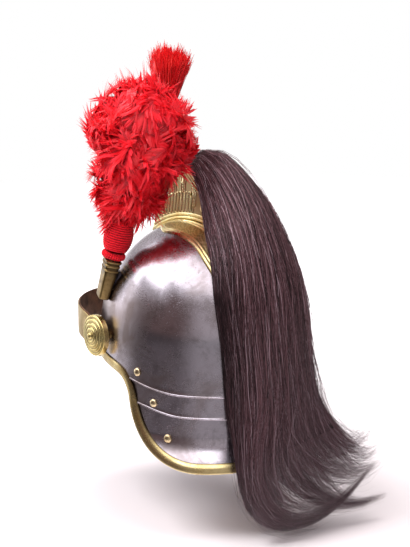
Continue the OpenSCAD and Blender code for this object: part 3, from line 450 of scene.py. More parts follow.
# Hand-polished mild steel, worn: broad soft glare, brown stains and scattered rust pits
def wornSteel(name="worn polished mild steel", light="#C9C0CB", stain="#928485", rough=(0.17, 0.36)):
    material, tree, shader = newMaterial(name, Metallic=1.0)
    place = objectPlace(tree)
    cloud = noiseAt(tree, place, 55, 4, 0.6, 0.6)
    film = noiseAt(tree, place, 16, 5, 0.65, 0.3)
    base = blendColours(tree, ramp(tree, cloud, 0.42, 0.68), light, stain)
    base = blendColours(tree, ramp(tree, film, 0.5, 0.78, 0, 0.55), base, "#6B5E5A")
    grains = addNode(tree, "ShaderNodeTexVoronoi", {"Vector": place, "Scale": 1 / (2.6 * mm)}).outputs["Distance"]
    where = ramp(tree, noiseAt(tree, place, 22, 3, 0.7), 0.5, 0.66)
    pits = mathOf(tree, "MULTIPLY", ramp(tree, grains, 0.20, 0.08), where)
    base = blendColours(tree, pits, base, "#2A1E1B")
    streak = addNode(tree, "ShaderNodeMapping", {"Vector": place, "Scale": (1, 1, 7)}).outputs["Vector"]
    brush = noiseAt(tree, streak, 3.2, 4, 0.7)
    roughness = mathOf(tree, "ADD", ramp(tree, cloud, 0.35, 0.7, *rough), ramp(tree, brush, 0.3, 0.7, -0.05, 0.07))
    roughness = mathOf(tree, "ADD", roughness, ramp(tree, pits, 0, 1, 0, 0.35))
    height = mathOf(tree, "SUBTRACT", ramp(tree, brush, 0.2, 0.8, 0, 0.05), pits)
    dent = mathOf(tree, "ADD", height, ramp(tree, noiseAt(tree, place, 40, 2), 0, 1, 0, 1.4))
    # the guard's lowest edge is hammered outwards and so mirrors the window
    drop = mathOf(tree, "MULTIPLY", partsOf(tree, place)["Z"], -1.0)
    flare = bumpOf(tree, mathOf(tree, "POWER", ramp(tree, drop, 0.086, 0.126, 0, 40), 2.0), 1.0, 0.016)
    setInputs(shader, {"Base Color": base, "Roughness": roughness, "Normal": bumpOf(tree, dent, 0.35, 0.4, flare)})
    return material


# Stamped sheet brass, aged: warm satin gloss on the high parts and brown-black wax in the recesses
def agedBrass(name, bright, dull, dark="#33261A", rough=(0.22, 0.4), recessed=False, grain=1.6):
    material, tree, shader = newMaterial(name, Metallic=1.0)
    place = objectPlace(tree)
    cloud = noiseAt(tree, place, 24, 4, 0.6, 0.4)
    fine = noiseAt(tree, place, grain, 4, 0.65)
    base = blendColours(tree, ramp(tree, cloud, 0.38, 0.7), bright, dull)
    base = blendColours(tree, ramp(tree, fine, 0.55, 0.8, 0, 0.6), base, dark)
    if recessed:
        base = blendColours(tree, attributeOf(tree, "recess"), base, dark)
    setInputs(shader, {"Base Color": base, "Roughness": ramp(tree, cloud, 0.35, 0.7, *rough),
                       "Normal": bumpOf(tree, fine, 0.25, 0.2)})
    return material


# Dyed hair: each strand darker or lighter than the next and a few of them greyed, evened out towards the tip,
# with a soft gloss along it
def dyedHair(name, dark, mid, tip, pale, rough, sheen, specular=0.5, paintedShadeSpan=None):
    values = {"Roughness": rough, "Specular IOR Level": specular, "Sheen Weight": sheen}
    material, tree, shader = newMaterial(name, **values)
    shade = attributeOf(tree, "strandShade")
    base = blendColours(tree, ramp(tree, shade, 0.1, 0.85), dark, mid)
    base = blendColours(tree, ramp(tree, attributeOf(tree, "strandPlace"), 0.6, 1.0, 0, 0.7), base, tip)
    base = blendColours(tree, ramp(tree, shade, 0.9, 1.1), base, pale)
    if paintedShadeSpan:
        # painted shade: the hair beside the guard and low down is darkened to near-black with less gloss; the span
        # given is where it fades, in mm across the picture
        place = objectPlace(tree)
        across = vectorOf(tree, "DOT_PRODUCT", place, (-0.766, 0.643, 0))
        hidden = mathOf(tree, "MULTIPLY", ramp(tree, across, paintedShadeSpan[0] * mm, paintedShadeSpan[1] * mm, 0.85, 0),
                        ramp(tree, partsOf(tree, place)["Z"], 0.12, 0.05))
        base = blendColours(tree, hidden, base, "#0C0608")
        setInputs(shader, {"Specular IOR Level": ramp(tree, hidden, 0, 0.8, specular, 0.1)})
    setInputs(shader, {"Base Color": base})
    return material


# Dyed cock feathers: bright silky barbs that let some light through, with painted shade deeper near the shaft
def dyedFeather():
    material, tree, shader = newMaterial("dyed cock feather", Roughness=0.36, **{"Specular IOR Level": 0.6})
    base = blendColours(tree, ramp(tree, attributeOf(tree, "strandShade"), 0.0, 1.0), "#E81222", "#FF4250")
    # painted shade: the barbs darken towards the shaft, where they lie deep in the plume
    near = ramp(tree, attributeOf(tree, "strandPlace"), 0.35, 0.0, 0, 0.6)
    base = blendColours(tree, near, base, "#8E0818")
    setInputs(shader, {"Base Color": base})
    glow = addNode(tree, "ShaderNodeBsdfTranslucent", {"Color": base})
    mixed = addNode(tree, "ShaderNodeMixShader", {0: 0.24, 1: shader.outputs["BSDF"], 2: glow.outputs[0]})
    setInputs(next(n for n in tree.nodes if n.type == "OUTPUT_MATERIAL"), {"Surface": mixed.outputs[0]})
    return material


# Wound wool thread: matt, with a fine fuzz in two reds that also roughens it
def woolThread(name="wound wool thread", bright="#EE1A2C", deep="#B40E1C", ply=0.9):
    material, tree, shader = newMaterial(name, Roughness=0.85, **{"Sheen Weight": 0.08, "Specular IOR Level": 0.2})
    fuzz = noiseAt(tree, objectPlace(tree), ply, 3, 0.6)
    setInputs(shader, {"Base Color": blendColours(tree, ramp(tree, fuzz, 0.3, 0.7), deep, bright),
                       "Normal": bumpOf(tree, fuzz, 0.6, 0.3)})
    return material


# Vegetable-tanned leather: clouded, with a grain of dark creases and a waxed surface
def wornLeather(name, light, dark):
    material, tree, shader = newMaterial(name, **{"Specular IOR Level": 0.4})
    place = objectPlace(tree)
    cloud = noiseAt(tree, place, 14, 4, 0.6, 0.5)
    cells = addNode(tree, "ShaderNodeTexVoronoi", {"Vector": place, "Scale": 1 / (1.3 * mm)},
                    feature="DISTANCE_TO_EDGE").outputs["Distance"]
    base = blendColours(tree, ramp(tree, cloud, 0.35, 0.7), light, dark)
    base = blendColours(tree, ramp(tree, cells, 0.12, 0.0, 0, 0.6), base, dark)
    setInputs(shader, {"Base Color": base, "Roughness": ramp(tree, cloud, 0.3, 0.7, 0.45, 0.7),
                       "Normal": bumpOf(tree, cells, 0.5, 0.25)})
    return material


# Bare turned beech: bands of grain in two pale browns
def bareBeech():
    material, tree, shader = newMaterial("bare turned beech", Roughness=0.6)
    place = objectPlace(tree)
    rings = addNode(tree, "ShaderNodeTexWave", {"Vector": place, "Scale": 90.0, "Distortion": 3.0, "Detail": 3.0})
    setInputs(shader, {"Base Color": blendColours(tree, rings.outputs["Fac"], "#A77F55", "#7C5836")})
    return material


# Shadow between the hairs: matt and nearly black, so that no light shows through
def hairShadow():
    material, tree, shader = newMaterial("hair shadow", Roughness=0.9)
    fuzz = noiseAt(tree, objectPlace(tree), 2, 3)
    setInputs(shader, {"Base Color": blendColours(tree, fuzz, "#0C0808", "#1C1312")})
    return material


steel = wornSteel()
dullSteel = wornSteel("dull bracket steel", "#8E8B90", "#5E5856", rough=(0.4, 0.6))
crestBrass = agedBrass("stamped crest brass", "#FFF2BE", "#F6D892", "#785A38", rough=(0.26, 0.42), recessed=True)
plainBrass = agedBrass("aged sheet brass", "#DCC396", "#AC8E60")
edgingBrass = agedBrass("drawn brass edging", "#EBD6A0", "#BFA166", rough=(0.2, 0.34), recessed=True)
rosetteBrass = agedBrass("turned rosette brass", "#F2DE9E", "#CBB06A", rough=(0.2, 0.34), recessed=True)
holderBrass = agedBrass("tarnished socket brass", "#B49A68", "#78603E", rough=(0.3, 0.46), recessed=True)
strapBrass = agedBrass("thin gilt strap brass", "#D8BE8C", "#A58A5B", rough=(0.3, 0.45), grain=1.0)
rivetBrass = agedBrass("polished rivet brass", "#EFDDB8", "#CDB488", rough=(0.2, 0.32))
# the mane's hair beside the guard gets painted shade, fading out from 26 to 60 mm across the picture
maneHair = dyedHair("dark horsehair", "#170B0E", "#735057", "#523A42", "#B39AA4", 0.34, 0.05, paintedShadeSpan=(26, 60))
maneCore = hairShadow()
tuftHair = dyedHair("red dyed bristle", "#B80A12", "#F01E24", "#F2262A", "#FF5A50", 0.5, 0.0, 0.25)
feather = dyedFeather()
# the down's near-black reds are painted shade for the plume's depth
paintedShadeDown = woolThread("red down painted as shade", "#6E0812", "#38040A", 3.0)
thread = woolThread()
plugThread = woolThread("bound tuft thread", "#A81020", "#5E0812")
grooveThread = woolThread("shaded thread groove", "#7A0A14", "#45050C")
strapLeather = wornLeather("worn strap leather", "#6E4A33", "#2C1B13")
linerLeather = wornLeather("liner sheepskin leather", "#9A6E48", "#5B3B24")
rootLeather = wornLeather("blackened root leather", "#2E211A", "#120C0A")
beech = bareBeech()


# CAD nodes that keep their own shape
kept = dict(back_strips=edgingBrass, crest_front_plate=plainBrass, crest_cap=plainBrass, crest_channel=plainBrass,
            mane_root=rootLeather, tuft_socket=plainBrass, tuft_plug=plugThread, holder_bracket=dullSteel,
            plume_stem=beech, olive_core=beech, left_stud=dullSteel, right_stud=dullSteel, strap_clasp=plainBrass,
            strap_eyelets=rivetBrass)
for nodeName, material in kept.items():
    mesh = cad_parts[nodeName].data
    mesh.materials.clear()
    mesh.materials.append(material)
print("stage: materials")


# Skull and neck guard

# rim holds [rise above the edge, lift off the sheet]
shell = dict(columns=168, skirtRows=7, domeRows=52, plateRows=12, cornerColumns=44, backColumns=28,
             rim=((0, 0.05), (0.15, 0.4), (0.5, 0.62), (0.95, 0.66), (1.4, 0.5), (1.8, 0.12), (2.1, 0)))


def makeSkull():
    height, sheet, n = helmet["height"], helmet["sheet"], shell["columns"]
    t = np.linspace(0, 360, n, endpoint=False)
    edge = skullEdge(t)
    outer, inner = [], []
    for k in np.linspace(0, 1, shell["skirtRows"]):
        outer.append(onSkull(t, edge * (1 - k)))
        inner.append(onSkull(t, edge * (1 - k), -sheet))
    for k in np.linspace(0, 90, shell["domeRows"] + 1)[1:-1]:
        z = height * math.sin(math.radians(k)) + 0 * t
        outer.append(onSkull(t, z))
        inner.append(onSkull(t, z * (height - sheet) / height, -sheet))
    # the rolled rim catches the light
    outer[0] = outer[0] + skullWay(t) * shell["rim"][0][1]
    for i, (rise, lift) in enumerate(shell["rim"][1:]):
        outer.insert(i + 1, onSkull(t, edge + rise) + skullWay(t) * lift)
        inner.insert(i + 1, onSkull(t, edge + rise, -sheet))
    m = len(outer)
    size, last = m * n, (m - 1) * n
    points = np.concatenate([np.array(outer + inner).reshape(-1, 3), [[0, 0, height], [0, 0, height - sheet]]])
    faces = rowFaces(m, n) + [tuple(reversed(f)) for f in rowFaces(m, n, start=size)]
    for j in range(n):
        l = (j + 1) % n
        faces += [(last + j, last + l, 2 * size), (size + last + l, size + last + j, 2 * size + 1),
                  (l, j, size + j, size + l)]
    addPiece("skull_shell", points, turnOutward(points, faces), steel, "helmet", ["skull"], "skull_steel", 50)


def plateLoops(angles, low, high, out, thick):
    rise, lift = np.array(shell["rim"]).T
    k = np.linspace(0, 1, shell["plateRows"])[1:]
    lift = np.concatenate([lift, np.zeros(len(k))])
    loops = []
    for a, lo, hi in zip(angles, low, high):
        rim = rise * min(1, (hi - lo) / 4)
        z = lo + np.concatenate([rim, rim[-1] + (hi - lo - rim[-1]) * k])
        outer = onSkull(np.full_like(z, a), z, out) + skullWay(a) * lift[:, None]
        inner = onSkull(np.full_like(z, a), z, out - thick)
        loops.append(np.concatenate([outer[::-1], inner]))
    return loops


def makeLame(name, node, start, low, top, inset):
    back = np.linspace(helmet["cornerAngle"], 180, shell["backColumns"])
    angles = bothSides(np.concatenate([cornerAngles(start, shell["cornerColumns"]), back]))
    low = np.maximum(low(angles), guardEdge(angles, helmet["hidden"]))
    loops = plateLoops(angles, low, top(angles) + helmet["lameLap"], -inset, helmet["lameSheet"])
    points, faces = skinLoops(loops)
    addPiece(name, points, faces, steel, "helmet", [node], "lame_steel", 40)


makeSkull()
makeLame("middle_plate", "middle_lame", 1, middleEdge, skullEdge, middleInset)
makeLame("lower_plate", "lower_lame", 15.5, guardEdge, middleEdge, lowerInset)

# the edging's section: a rounded channel, [out of the plate, back from its rim]
edging = dict(width=10.5, sheet=1.0, bulge=0.7, leafPoints=11)


def edgingSection():
    s, w, o, d = edging["sheet"], edging["width"], helmet["seat"], slotDepth
    out = o + s * 0.75
    a = np.linspace(0, 1, edging["leafPoints"])
    outer = [(out + edging["bulge"] * math.sin(pi * min(1, k * 1.06)) ** 0.8, -w + (w - 0.9) * k) for k in a]
    nose = [(out - (out + d + s * 0.8) * (1 - math.cos(pi * k)) / 2, -0.9 + math.sin(pi * k)) for k in a[1:-1]]
    inner = [(-d - s * 0.8, -1), (-d - s, -w + 0.4), (-d - s * 0.5, -w), (-d, -w), (-d, -s), (o - 0.1, -s),
             (o, -w * 0.5), (o, -w)]
    return np.array(outer + nose + inner)


# eases a row of values, its ends held
def eased(values, rounds):
    for _ in range(rounds):
        values[1:-1] = values[1:-1] * 0.5 + (values[:-2] + values[2:]) * 0.25
    return values


def makeEdging():
    h = helmet
    start = np.linspace(h["edgingStart"], 90, 14)
    corner = h["cornerAngle"] - h["cornerReach"] * np.cos(np.radians(np.linspace(5, 89.3, 46)))
    back = np.linspace(h["cornerAngle"], 180, 26)
    t = bothSides(np.concatenate([start, corner, back]))
    z = np.concatenate([skullEdge(start) - h["hidden"], guardEdge(corner), guardEdge(back)])
    z = np.concatenate([z, z[-2::-1]])
    path = eased(onSkull(t, z), 3)  # for the join of brow and guard
    ahead = unit(np.gradient(path, axis=0))
    side = skullWay(t, z)
    back = unit(np.cross(ahead, side))
    section = edgingSection()
    # the outer leaf's back edge is hammered down onto whichever plate lies under it
    near = np.minimum(t, 360 - t)
    plate = np.where(z > middleEdge(near), middleInset, lowerInset)
    sunk = eased(np.where(z > skullEdge(near) - h["hidden"] - 0.01, 0, plate), 4)
    pressed = np.zeros(len(section))
    pressed[:edging["leafPoints"]] = (1 - np.linspace(0, 1, edging["leafPoints"])) ** 1.4
    pressed[-2:] = 0.38, 1.0
    out = section[None, :, 0] - sunk[:, None] * pressed[None]
    loops = path[:, None] + out[..., None] * side[:, None] + section[None, :, 1:] * back[:, None]
    points, faces = skinLoops(loops)
    groove = np.zeros(len(section))
    groove[[0, -1]] = 0.9
    groove[[1, 10]] = 0.3
    addPiece("guard_edging", points, faces, edgingBrass, "helmet", ["neck_edging"], "edging_brass", 40,
             np.tile(groove, len(path)))


makeEdging()
print("stage: skull, neck guard and edging")

# Visor

visor = dict(span=46, flange=7, reach=16, drop=16, end=4.5, sheet=1.1, columns=72, lipWidth=2.4, lipSheet=0.8)


# four places down the peak at t degrees round, as (out of the brow, height)
def visorPath(t):
    k = np.cos(np.radians(t * 90 / (visor["span"] + 4))) ** 1.6
    low = -helmet["browDrop"] - 1
    fall = visor["drop"] * k + visor["end"]
    o = helmet["seat"] + 0.1
    return np.array([[o, low + visor["flange"]], [o, low], [o + visor["reach"] * k * 0.45, low - fall * 0.42],
                     [o + visor["reach"] * k, low - fall]])


def browPoint(t, q):
    c, s = turned(t)
    g = np.array([helmet["halfWidth"] * s, -helmet["halfLength"] * c, 0])
    way = unit([helmet["halfLength"] * s, -helmet["halfWidth"] * c, 0])
    q = np.asarray(q, float)
    return g + q[:, :1] * way + q[:, 1:] * np.array([0, 0, 1.0])


def bentPath(p, steps):
    out = [p[0], p[1] * 0.85 + p[0] * 0.15]
    for k in np.linspace(0.1, 1, steps):
        out.append((1 - k) ** 2 * p[1] + 2 * k * (1 - k) * (2 * p[2] - (p[1] + p[3]) / 2) + k * k * p[3])
    return np.array(out)


def makeVisor():
    angles = visor["span"] * np.sin(np.linspace(-pi / 2, pi / 2, visor["columns"]))
    plates, lips = [], []
    w, s, o = visor["lipWidth"], visor["lipSheet"], visor["sheet"] + 0.4
    nose = [((o - 0.4) / 2 - (o + 0.4 + 2 * s) / 2 * math.sin(b), -0.2 + 1.15 * math.cos(b))
            for b in np.radians(np.linspace(-90, 90, 9))]
    q = np.array([(o + s, -w), (o + s + 0.25, -w * 0.55), *nose, (-0.4 - s, -w), (-0.4, -w), (-0.4, 0.4),
                  (o - 0.2, 0.4), (o, -0.4), (o, -w)])
    for t in angles:
        p = visorPath(t)
        line = bentPath(p, 10)
        ahead = unit(np.gradient(line, axis=0))
        square = np.stack([-ahead[:, 1], ahead[:, 0]], 1)
        plates.append(browPoint(t, np.concatenate([line, (line + square * visor["sheet"])[::-1]])))
        e = unit(p[3] - p[2])
        lips.append(browPoint(t, p[3] + q[:, :1] * np.array([-e[1], e[0]]) + q[:, 1:] * e))
    points, faces = skinLoops(plates)
    addPiece("visor_plate", points, faces, steel, "helmet", ["visor"], "skull_steel", 45)
    points, faces = skinLoops(lips)
    addPiece("visor_lip", points, faces, edgingBrass, "helmet", ["visor_edging"], "edging_brass", 40,
             np.zeros(len(points)))


makeVisor()

# Crest

# top and front are curves along the sheet's edges; ridges, bands, hems and footings hold
# [distance from the top edge, the dome, the skirt's hem or the crest's foot, half-width, height]
crest = dict(
    top=((-62, 213), (-17, 200), (98, 86)), front=((-61, 104), (-38, 150), (-62, 213)), half=12.0, sheet=1.2,
    rear=98, floorFront=-59, floorOut=2.1, columns=310, rows=210, dark=0.7,
    baseFront=-52, baseRear=88, baseStart=14, baseHalf=40, baseSheet=1.2, baseColumns=150, baseRows=110,
    ridges=((2.0, 1.25, 1.3), (5.2, 1.25, 1.2), (8.4, 1.15, 1.0)), floorBands=((2.2, 1.6, 1.4), (6.0, 1.5, 1.2)),
    hems=((1.6, 1.3, 0.9), (4.6, 1.1, 0.7)), footings=((2.6, 1.8, 1.3), (6.4, 1.4, 0.9)),
    leaves=(0.22, 0.32, 0.42, 0.52, 0.62, 0.71), leafDrop=15.5, leafSize=13, beadPitch=3.0, beadRadius=1.3,
    flutes=11, fluteFrom=-44, fluteTo=8, fluteHalf=1.9, fluteFoot=10, fluteLength=17)


def crestFloor(y, rise=0.0):
    return domeHeight(crest["half"], np.asarray(y), crest["floorOut"] + rise)


# a rounded ridge about distance 0
def ridge(distance, half, height):
    return height * np.sqrt(np.maximum(0, 1 - (distance / half) ** 2))


# the higher of a relief and of ridges along a line, each [distance from it, half-width, height]
def withRidges(lift, distance, ridges):
    for at, half, height in ridges:
        lift = np.maximum(lift, ridge(distance - at, half, height))
    return lift


def segmentDistance(y, z, a, b):
    way = np.array(b) - np.array(a)
    k = np.clip(((y - a[0]) * way[0] + (z - a[1]) * way[1]) / (way @ way), 0, 1)
    return np.hypot(y - a[0] - k * way[0], z - a[1] - k * way[1])


# the least distance of many places from a curve, a few thousand at a time
def leastDistance(y, z, curve):
    flat = np.stack([y.ravel(), z.ravel()], 1)
    near = np.zeros(len(flat))
    for i in range(0, len(flat), 4000):
        part = flat[i:i + 4000, None]
        near[i:i + 4000] = np.hypot(part[..., 0] - curve[None, :, 0], part[..., 1] - curve[None, :, 1]).min(1)
    return near.reshape(y.shape)


# one embossed leaf, a drop that is round below and drawn to a point above, with beads hanging from it
def leafRelief(y, z, at):
    size = crest["leafSize"]
    p = bezier(crest["top"], at)
    w = unit(bezier(crest["top"], at + 0.01) - bezier(crest["top"], at - 0.01))
    head = p + np.array([w[1], -w[0]]) * crest["leafDrop"]
    dy, dz = y - head[0], z - head[1]
    wide = size * 0.36 * np.clip(1 - dz / (size * 0.72), 0, 1) ** 0.8
    q = np.where(dz < 0, np.hypot(dy, dz * 1.1) / (size * 0.36),
                 np.abs(dy) / np.maximum(wide, 0.05) + np.where(dz > size * 0.72, 9, 0))
    drop = np.where(q < 1, 2.1 * np.sqrt(np.maximum(0, 1 - q ** 2)) + 0.1, 0)
    lift = np.where(q < 0.4, drop - 0.8 * np.sqrt(np.maximum(0, 1 - (q / 0.4) ** 2)), drop)
    foot = (head[0], max(head[1] - 30, crestFloor(head[0], 12)))
    for n in range(int((head[1] - 4.5 - foot[1]) / crest["beadPitch"])):
        bead = np.hypot(dy, dz + 6.4 + n * crest["beadPitch"])
        lift = np.maximum(lift, ridge(bead, crest["beadRadius"], 1.3))
    # a fine line down each side of the beads
    for side in (-1, 1):
        line = segmentDistance(y, z, (head[0] + side * 3.4, head[1] - 3), (head[0] + side * 2.6, foot[1] + 3))
        lift = np.maximum(lift, ridge(line, 0.7, 0.8))
    return lift


# height of the embossing over the flat sheet, and how far each place lies in a recess
def crestRelief(y, z):
    t = np.linspace(0, 1, 420)
    lift = withRidges(np.zeros_like(y), leastDistance(y, z, bezier(crest["top"], t)), crest["ridges"])
    rise = z - crestFloor(np.clip(y, -105, 105))
    slope = 1 / np.sqrt(1 + (np.clip(y, -100, 100) / 118) ** 2 * 1.4)
    lift = withRidges(lift, rise * slope, crest["floorBands"])
    lift = np.maximum(lift, ridge(leastDistance(y, z, bezier(crest["front"], t)[::6]) - 1.6, 0.9, 0.7))
    for at in crest["leaves"]:
        lift = np.maximum(lift, leafRelief(y, z, at))
    half = crest["fluteHalf"]
    for i, at in enumerate(np.linspace(crest["fluteFrom"], crest["fluteTo"], crest["flutes"])):
        low = crestFloor(at, crest["fluteFoot"])
        d = segmentDistance(y, z, (at, low), (at + 2.5 - i * 0.1, low + crest["fluteLength"]))
        lift = np.maximum(lift, ridge(d - half, 0.5, 0.75))
        lift = np.where(d < half - 0.3, np.minimum(lift, 0.0) - 0.25, lift)
    chase = np.sin(y * 2.9 + 1.3 * np.sin(z * 0.8)) * np.sin(z * 2.5 + 1.1 * np.sin(y * 0.9)) * 0.09
    field = np.clip(1 - lift / 0.3, 0, 1)
    return lift + chase * field, field


def makeCrestSides():
    m, n = crest["columns"], crest["rows"]
    t = np.linspace(0, 1, m)[:, None]
    r = np.linspace(0, 1, n)[None]
    top = bezier(crest["top"], t[:, 0])
    y = crest["floorFront"] + (crest["rear"] - crest["floorFront"]) * (0.25 * t + 0.75 * t ** 1.25)
    floor = np.stack([y[:, 0], crestFloor(y[:, 0])], 1)
    flat = top[:, None] * (1 - r[..., None]) + floor[:, None] * r[..., None]
    front = bezier(crest["front"], 1 - r[0])
    straight = top[0] * (1 - r[0][:, None]) + np.array(crest["front"][0]) * r[0][:, None]
    flat = flat + (front - straight)[None] * ((1 - t) ** 6)[..., None]
    flat[0] = front
    lift, field = crestRelief(flat[..., 0], flat[..., 1])
    edge = np.minimum(np.minimum(t * 200, (1 - t) * 200), np.minimum(r * 160, (1 - r) * 160))
    lift = lift * np.clip(edge, 0, 1) - 0.35 * np.clip(1 - edge / 0.8, 0, 1)
    count, border = m * n, gridBorder(m, n)
    size = len(border)
    for side, name in ((1, "left"), (-1, "right")):
        outer = np.concatenate([side * (crest["half"] + lift)[..., None], flat], -1).reshape(-1, 3)
        inner = outer[border].copy()
        inner[:, 0] = side * (crest["half"] - crest["sheet"])
        points = np.concatenate([outer, inner])
        faces = rowFaces(m, n, closedLoop=False)
        faces += [(border[(i + 1) % size], border[i], count + i, count + (i + 1) % size) for i in range(size)]
        faces.append(tuple(range(count, count + size)))
        addPiece("crest_side_" + name, points, turnOutward(points, faces), crestBrass, "helmet",
                 ["crest_%s_plate" % name], "crest_brass", 60,
                 crest["dark"] * np.concatenate([field.ravel(), np.ones(size)]))


def baseWidth(y):
    start = crest["baseStart"]
    wide = start + (crest["baseHalf"] - start) * smoothStep((y - crest["baseFront"]) / 52)
    return wide + 3 * smoothStep((y - 40) / 30)


def makeCrestBase():
    m, n = crest["baseColumns"], crest["baseRows"]
    y = np.linspace(crest["baseFront"], crest["baseRear"], m)[:, None]
    x = baseWidth(y) * np.linspace(-1, 1, n)[None]
    # mouldings along the skirt's edge and round the crest's foot, with chased scrolls between
    edge = np.minimum(baseWidth(y) - np.abs(x), y - crest["baseFront"] + 0 * x)
    lift = withRidges(withRidges(0, edge, crest["hems"]), np.abs(x) - crest["half"], crest["footings"])
    chase = np.sin(x * 1.5 + 1.6 * np.sin(y * 0.55)) * np.sin(y * 1.25 + 1.4 * np.sin(x * 0.5))
    field = np.clip(1 - lift / 0.25, 0, 1)
    lift = lift + np.maximum(0, chase) * 0.35 * field
    rim = np.minimum(np.minimum(edge, crest["baseRear"] - y), 1.0)
    lift = lift * np.clip(rim, 0, 1)
    upper = np.stack([x, y + 0 * x, domeHeight(x, y, helmet["seat"] + crest["baseSheet"]) + lift], -1)
    lower = np.stack([x, y + 0 * x, domeHeight(x, y, helmet["seat"])], -1)
    points = np.concatenate([upper.reshape(-1, 3), lower.reshape(-1, 3)])
    lowerFaces = [tuple(reversed(q)) for q in rowFaces(m, n, closedLoop=False, start=m * n)]
    faces = rowFaces(m, n, closedLoop=False) + lowerFaces
    border = gridBorder(m, n)
    faces += [(b, a, a + m * n, b + m * n) for a, b in zip(border, border[1:] + border[:1])]
    dark = np.concatenate([(field * (0.35 + 0.3 * (chase < 0))).ravel(), np.full(m * n, 0.5)])
    addPiece("crest_skirt", points, turnOutward(points, faces), crestBrass, "helmet", ["crest_base"], "crest_brass", 60,
             dark)


makeCrestSides()
makeCrestBase()
print("stage: visor and crest")


# Turned pieces

# spins a profile of (radius, height), open or closed at the axis, about +Z of a frame given by its foot and axes
def spun(profile, foot, axes, segments=96):
    a = np.linspace(0, 2 * pi, segments, endpoint=False)
    loops = []
    for r, h in np.asarray(profile, float):
        r = max(r, 0.02)
        flat = np.stack([r * np.cos(a), r * np.sin(a), np.full_like(a, h)], 1)
        loops.append(flat @ np.asarray(axes, float) + np.asarray(foot, float))
    return skinLoops(loops)


# rounds the corners of a profile
def softProfile(profile, rounds):
    p = np.asarray(profile, float)
    for _ in range(rounds):
        q = [p[0]]
        for a, b in zip(p[:-1], p[1:]):
            q += [a * 0.8 + b * 0.2, a * 0.2 + b * 0.8]
        p = np.array(q + [p[-1]])
    return p


# face: [radius, height over the wall]; groove: [radius, how dark the recess is]
rosette = dict(
    at=93.6, axisY=-46, turn=4, wall=6.4, radius=21.7, neck=((0, -2.4), (5, -2.4), (5, 0.8), (0, 0.8)),
    face=((21.7, -0.6), (21.2, 0.3), (19.9, 0.7), (18.6, 0.3), (18.1, 0.6), (17.4, 1.7), (15.8, 2.1), (14.2, 1.6),
          (13.7, 1.9), (12.9, 3.0), (11.2, 3.4), (9.6, 2.8), (9.1, 3.0), (8.2, 4.1), (6.6, 4.5), (5.0, 4.1), (3.6, 4.2),
          (3.2, 5.4), (2.2, 6.4), (0.9, 6.8), (0, 6.9)),
    groove=((0, 0), (3, 0.1), (4.2, 0.5), (5.4, 0), (8, 0), (9.3, 0.55), (10.4, 0), (12.6, 0), (13.9, 0.55),
            (15, 0), (17.2, 0), (18.4, 0.6), (19.4, 0), (21.7, 0)))


def makeRosettes():
    r = rosette["radius"]
    face = [(q, rosette["wall"] + h) for q, h in rosette["face"]]
    rim = softProfile([(r - 0.6, 0), (r, 0.6), (r, rosette["wall"] - 0.5)], 1)
    profile = np.concatenate([[(0, 0)], rim, softProfile(face, 2)])
    groove = np.interp(profile[:, 0], *np.array(rosette["groove"]).T)
    c, s = turned(rosette["turn"])
    for side, name in ((1, "left"), (-1, "right")):
        foot, given = (side * rosette["at"], rosette["axisY"], 0), ("helmet", [name + "_rosette"], "rosette_brass", 30)
        points, faces = spun(profile, foot, [[0, 0, 1], [side * s, c, 0], [side * c, -s, 0]])
        addPiece("rosette_" + name, points, faces, rosetteBrass, *given, np.repeat(groove, 96))
        points, faces = spun(rosette["neck"], foot, [[0, 0, 1], [0, 1, 0], [side, 0, 0]], 40)
        addPiece("rosette_neck_" + name, points, faces, rosetteBrass, *given, np.zeros(len(points)))


makeRosettes()

plume = dict(
    foot=(84.6, -51.9, 38.5), lean=17.6, heading=114.1, turn=-48, holderLength=43, holderFoot=(10.0, 5.6),
    holderTop=(11.8, 7.7), holderSheet=0.9, collarRing=9, collarTube=3.9, collarAt=47.4, oliveHalf=22.5,
    oliveRadius=15.5, windFrom=48, windTo=147, threadTurns=15, threadRadius=0.96, cordTurns=30, cordRadius=1.1)
plume["oliveAt"] = (plume["collarAt"] + plume["collarTube"] + 1.6 * 0.7
                    + plume["oliveHalf"] * turned(plume["windFrom"])[0])
plume["neckEnd"] = plume["oliveAt"] + plume["oliveHalf"] * 0.84 + 2


# the plume's x, y and z in the helmet's frame
def plumeAxes():
    (bCos, bSin), (hCos, hSin) = turned(plume["lean"]), turned(plume["heading"])
    lean = np.array([[bCos, 0, -bSin], [0, 1, 0], [bSin, 0, bCos]])
    return lean @ np.array([[hCos, hSin, 0], [-hSin, hCos, 0], [0, 0, 1]])


plumeFrame = plumeAxes()


def onPlume(points):
    return np.asarray(points, float) @ plumeFrame + np.array(plume["foot"])


# a rounded box's outline at height s of the socket, moved out
def holderRing(s, out):
    n = 64
    k = s / plume["holderLength"]
    half = [low + (high - low) * k + out for low, high in zip(plume["holderFoot"], plume["holderTop"])]
    a = 2 * pi * (np.arange(n) + 0.5) / n
    x = half[0] * np.sign(np.cos(a)) * np.abs(np.cos(a)) ** 0.36
    y = half[1] * np.sign(np.sin(a)) * np.abs(np.sin(a)) ** 0.36
    tCos, tSin = turned(plume["turn"])
    return onPlume(np.stack([x * tCos - y * tSin, x * tSin + y * tCos, np.full(n, s)], 1))


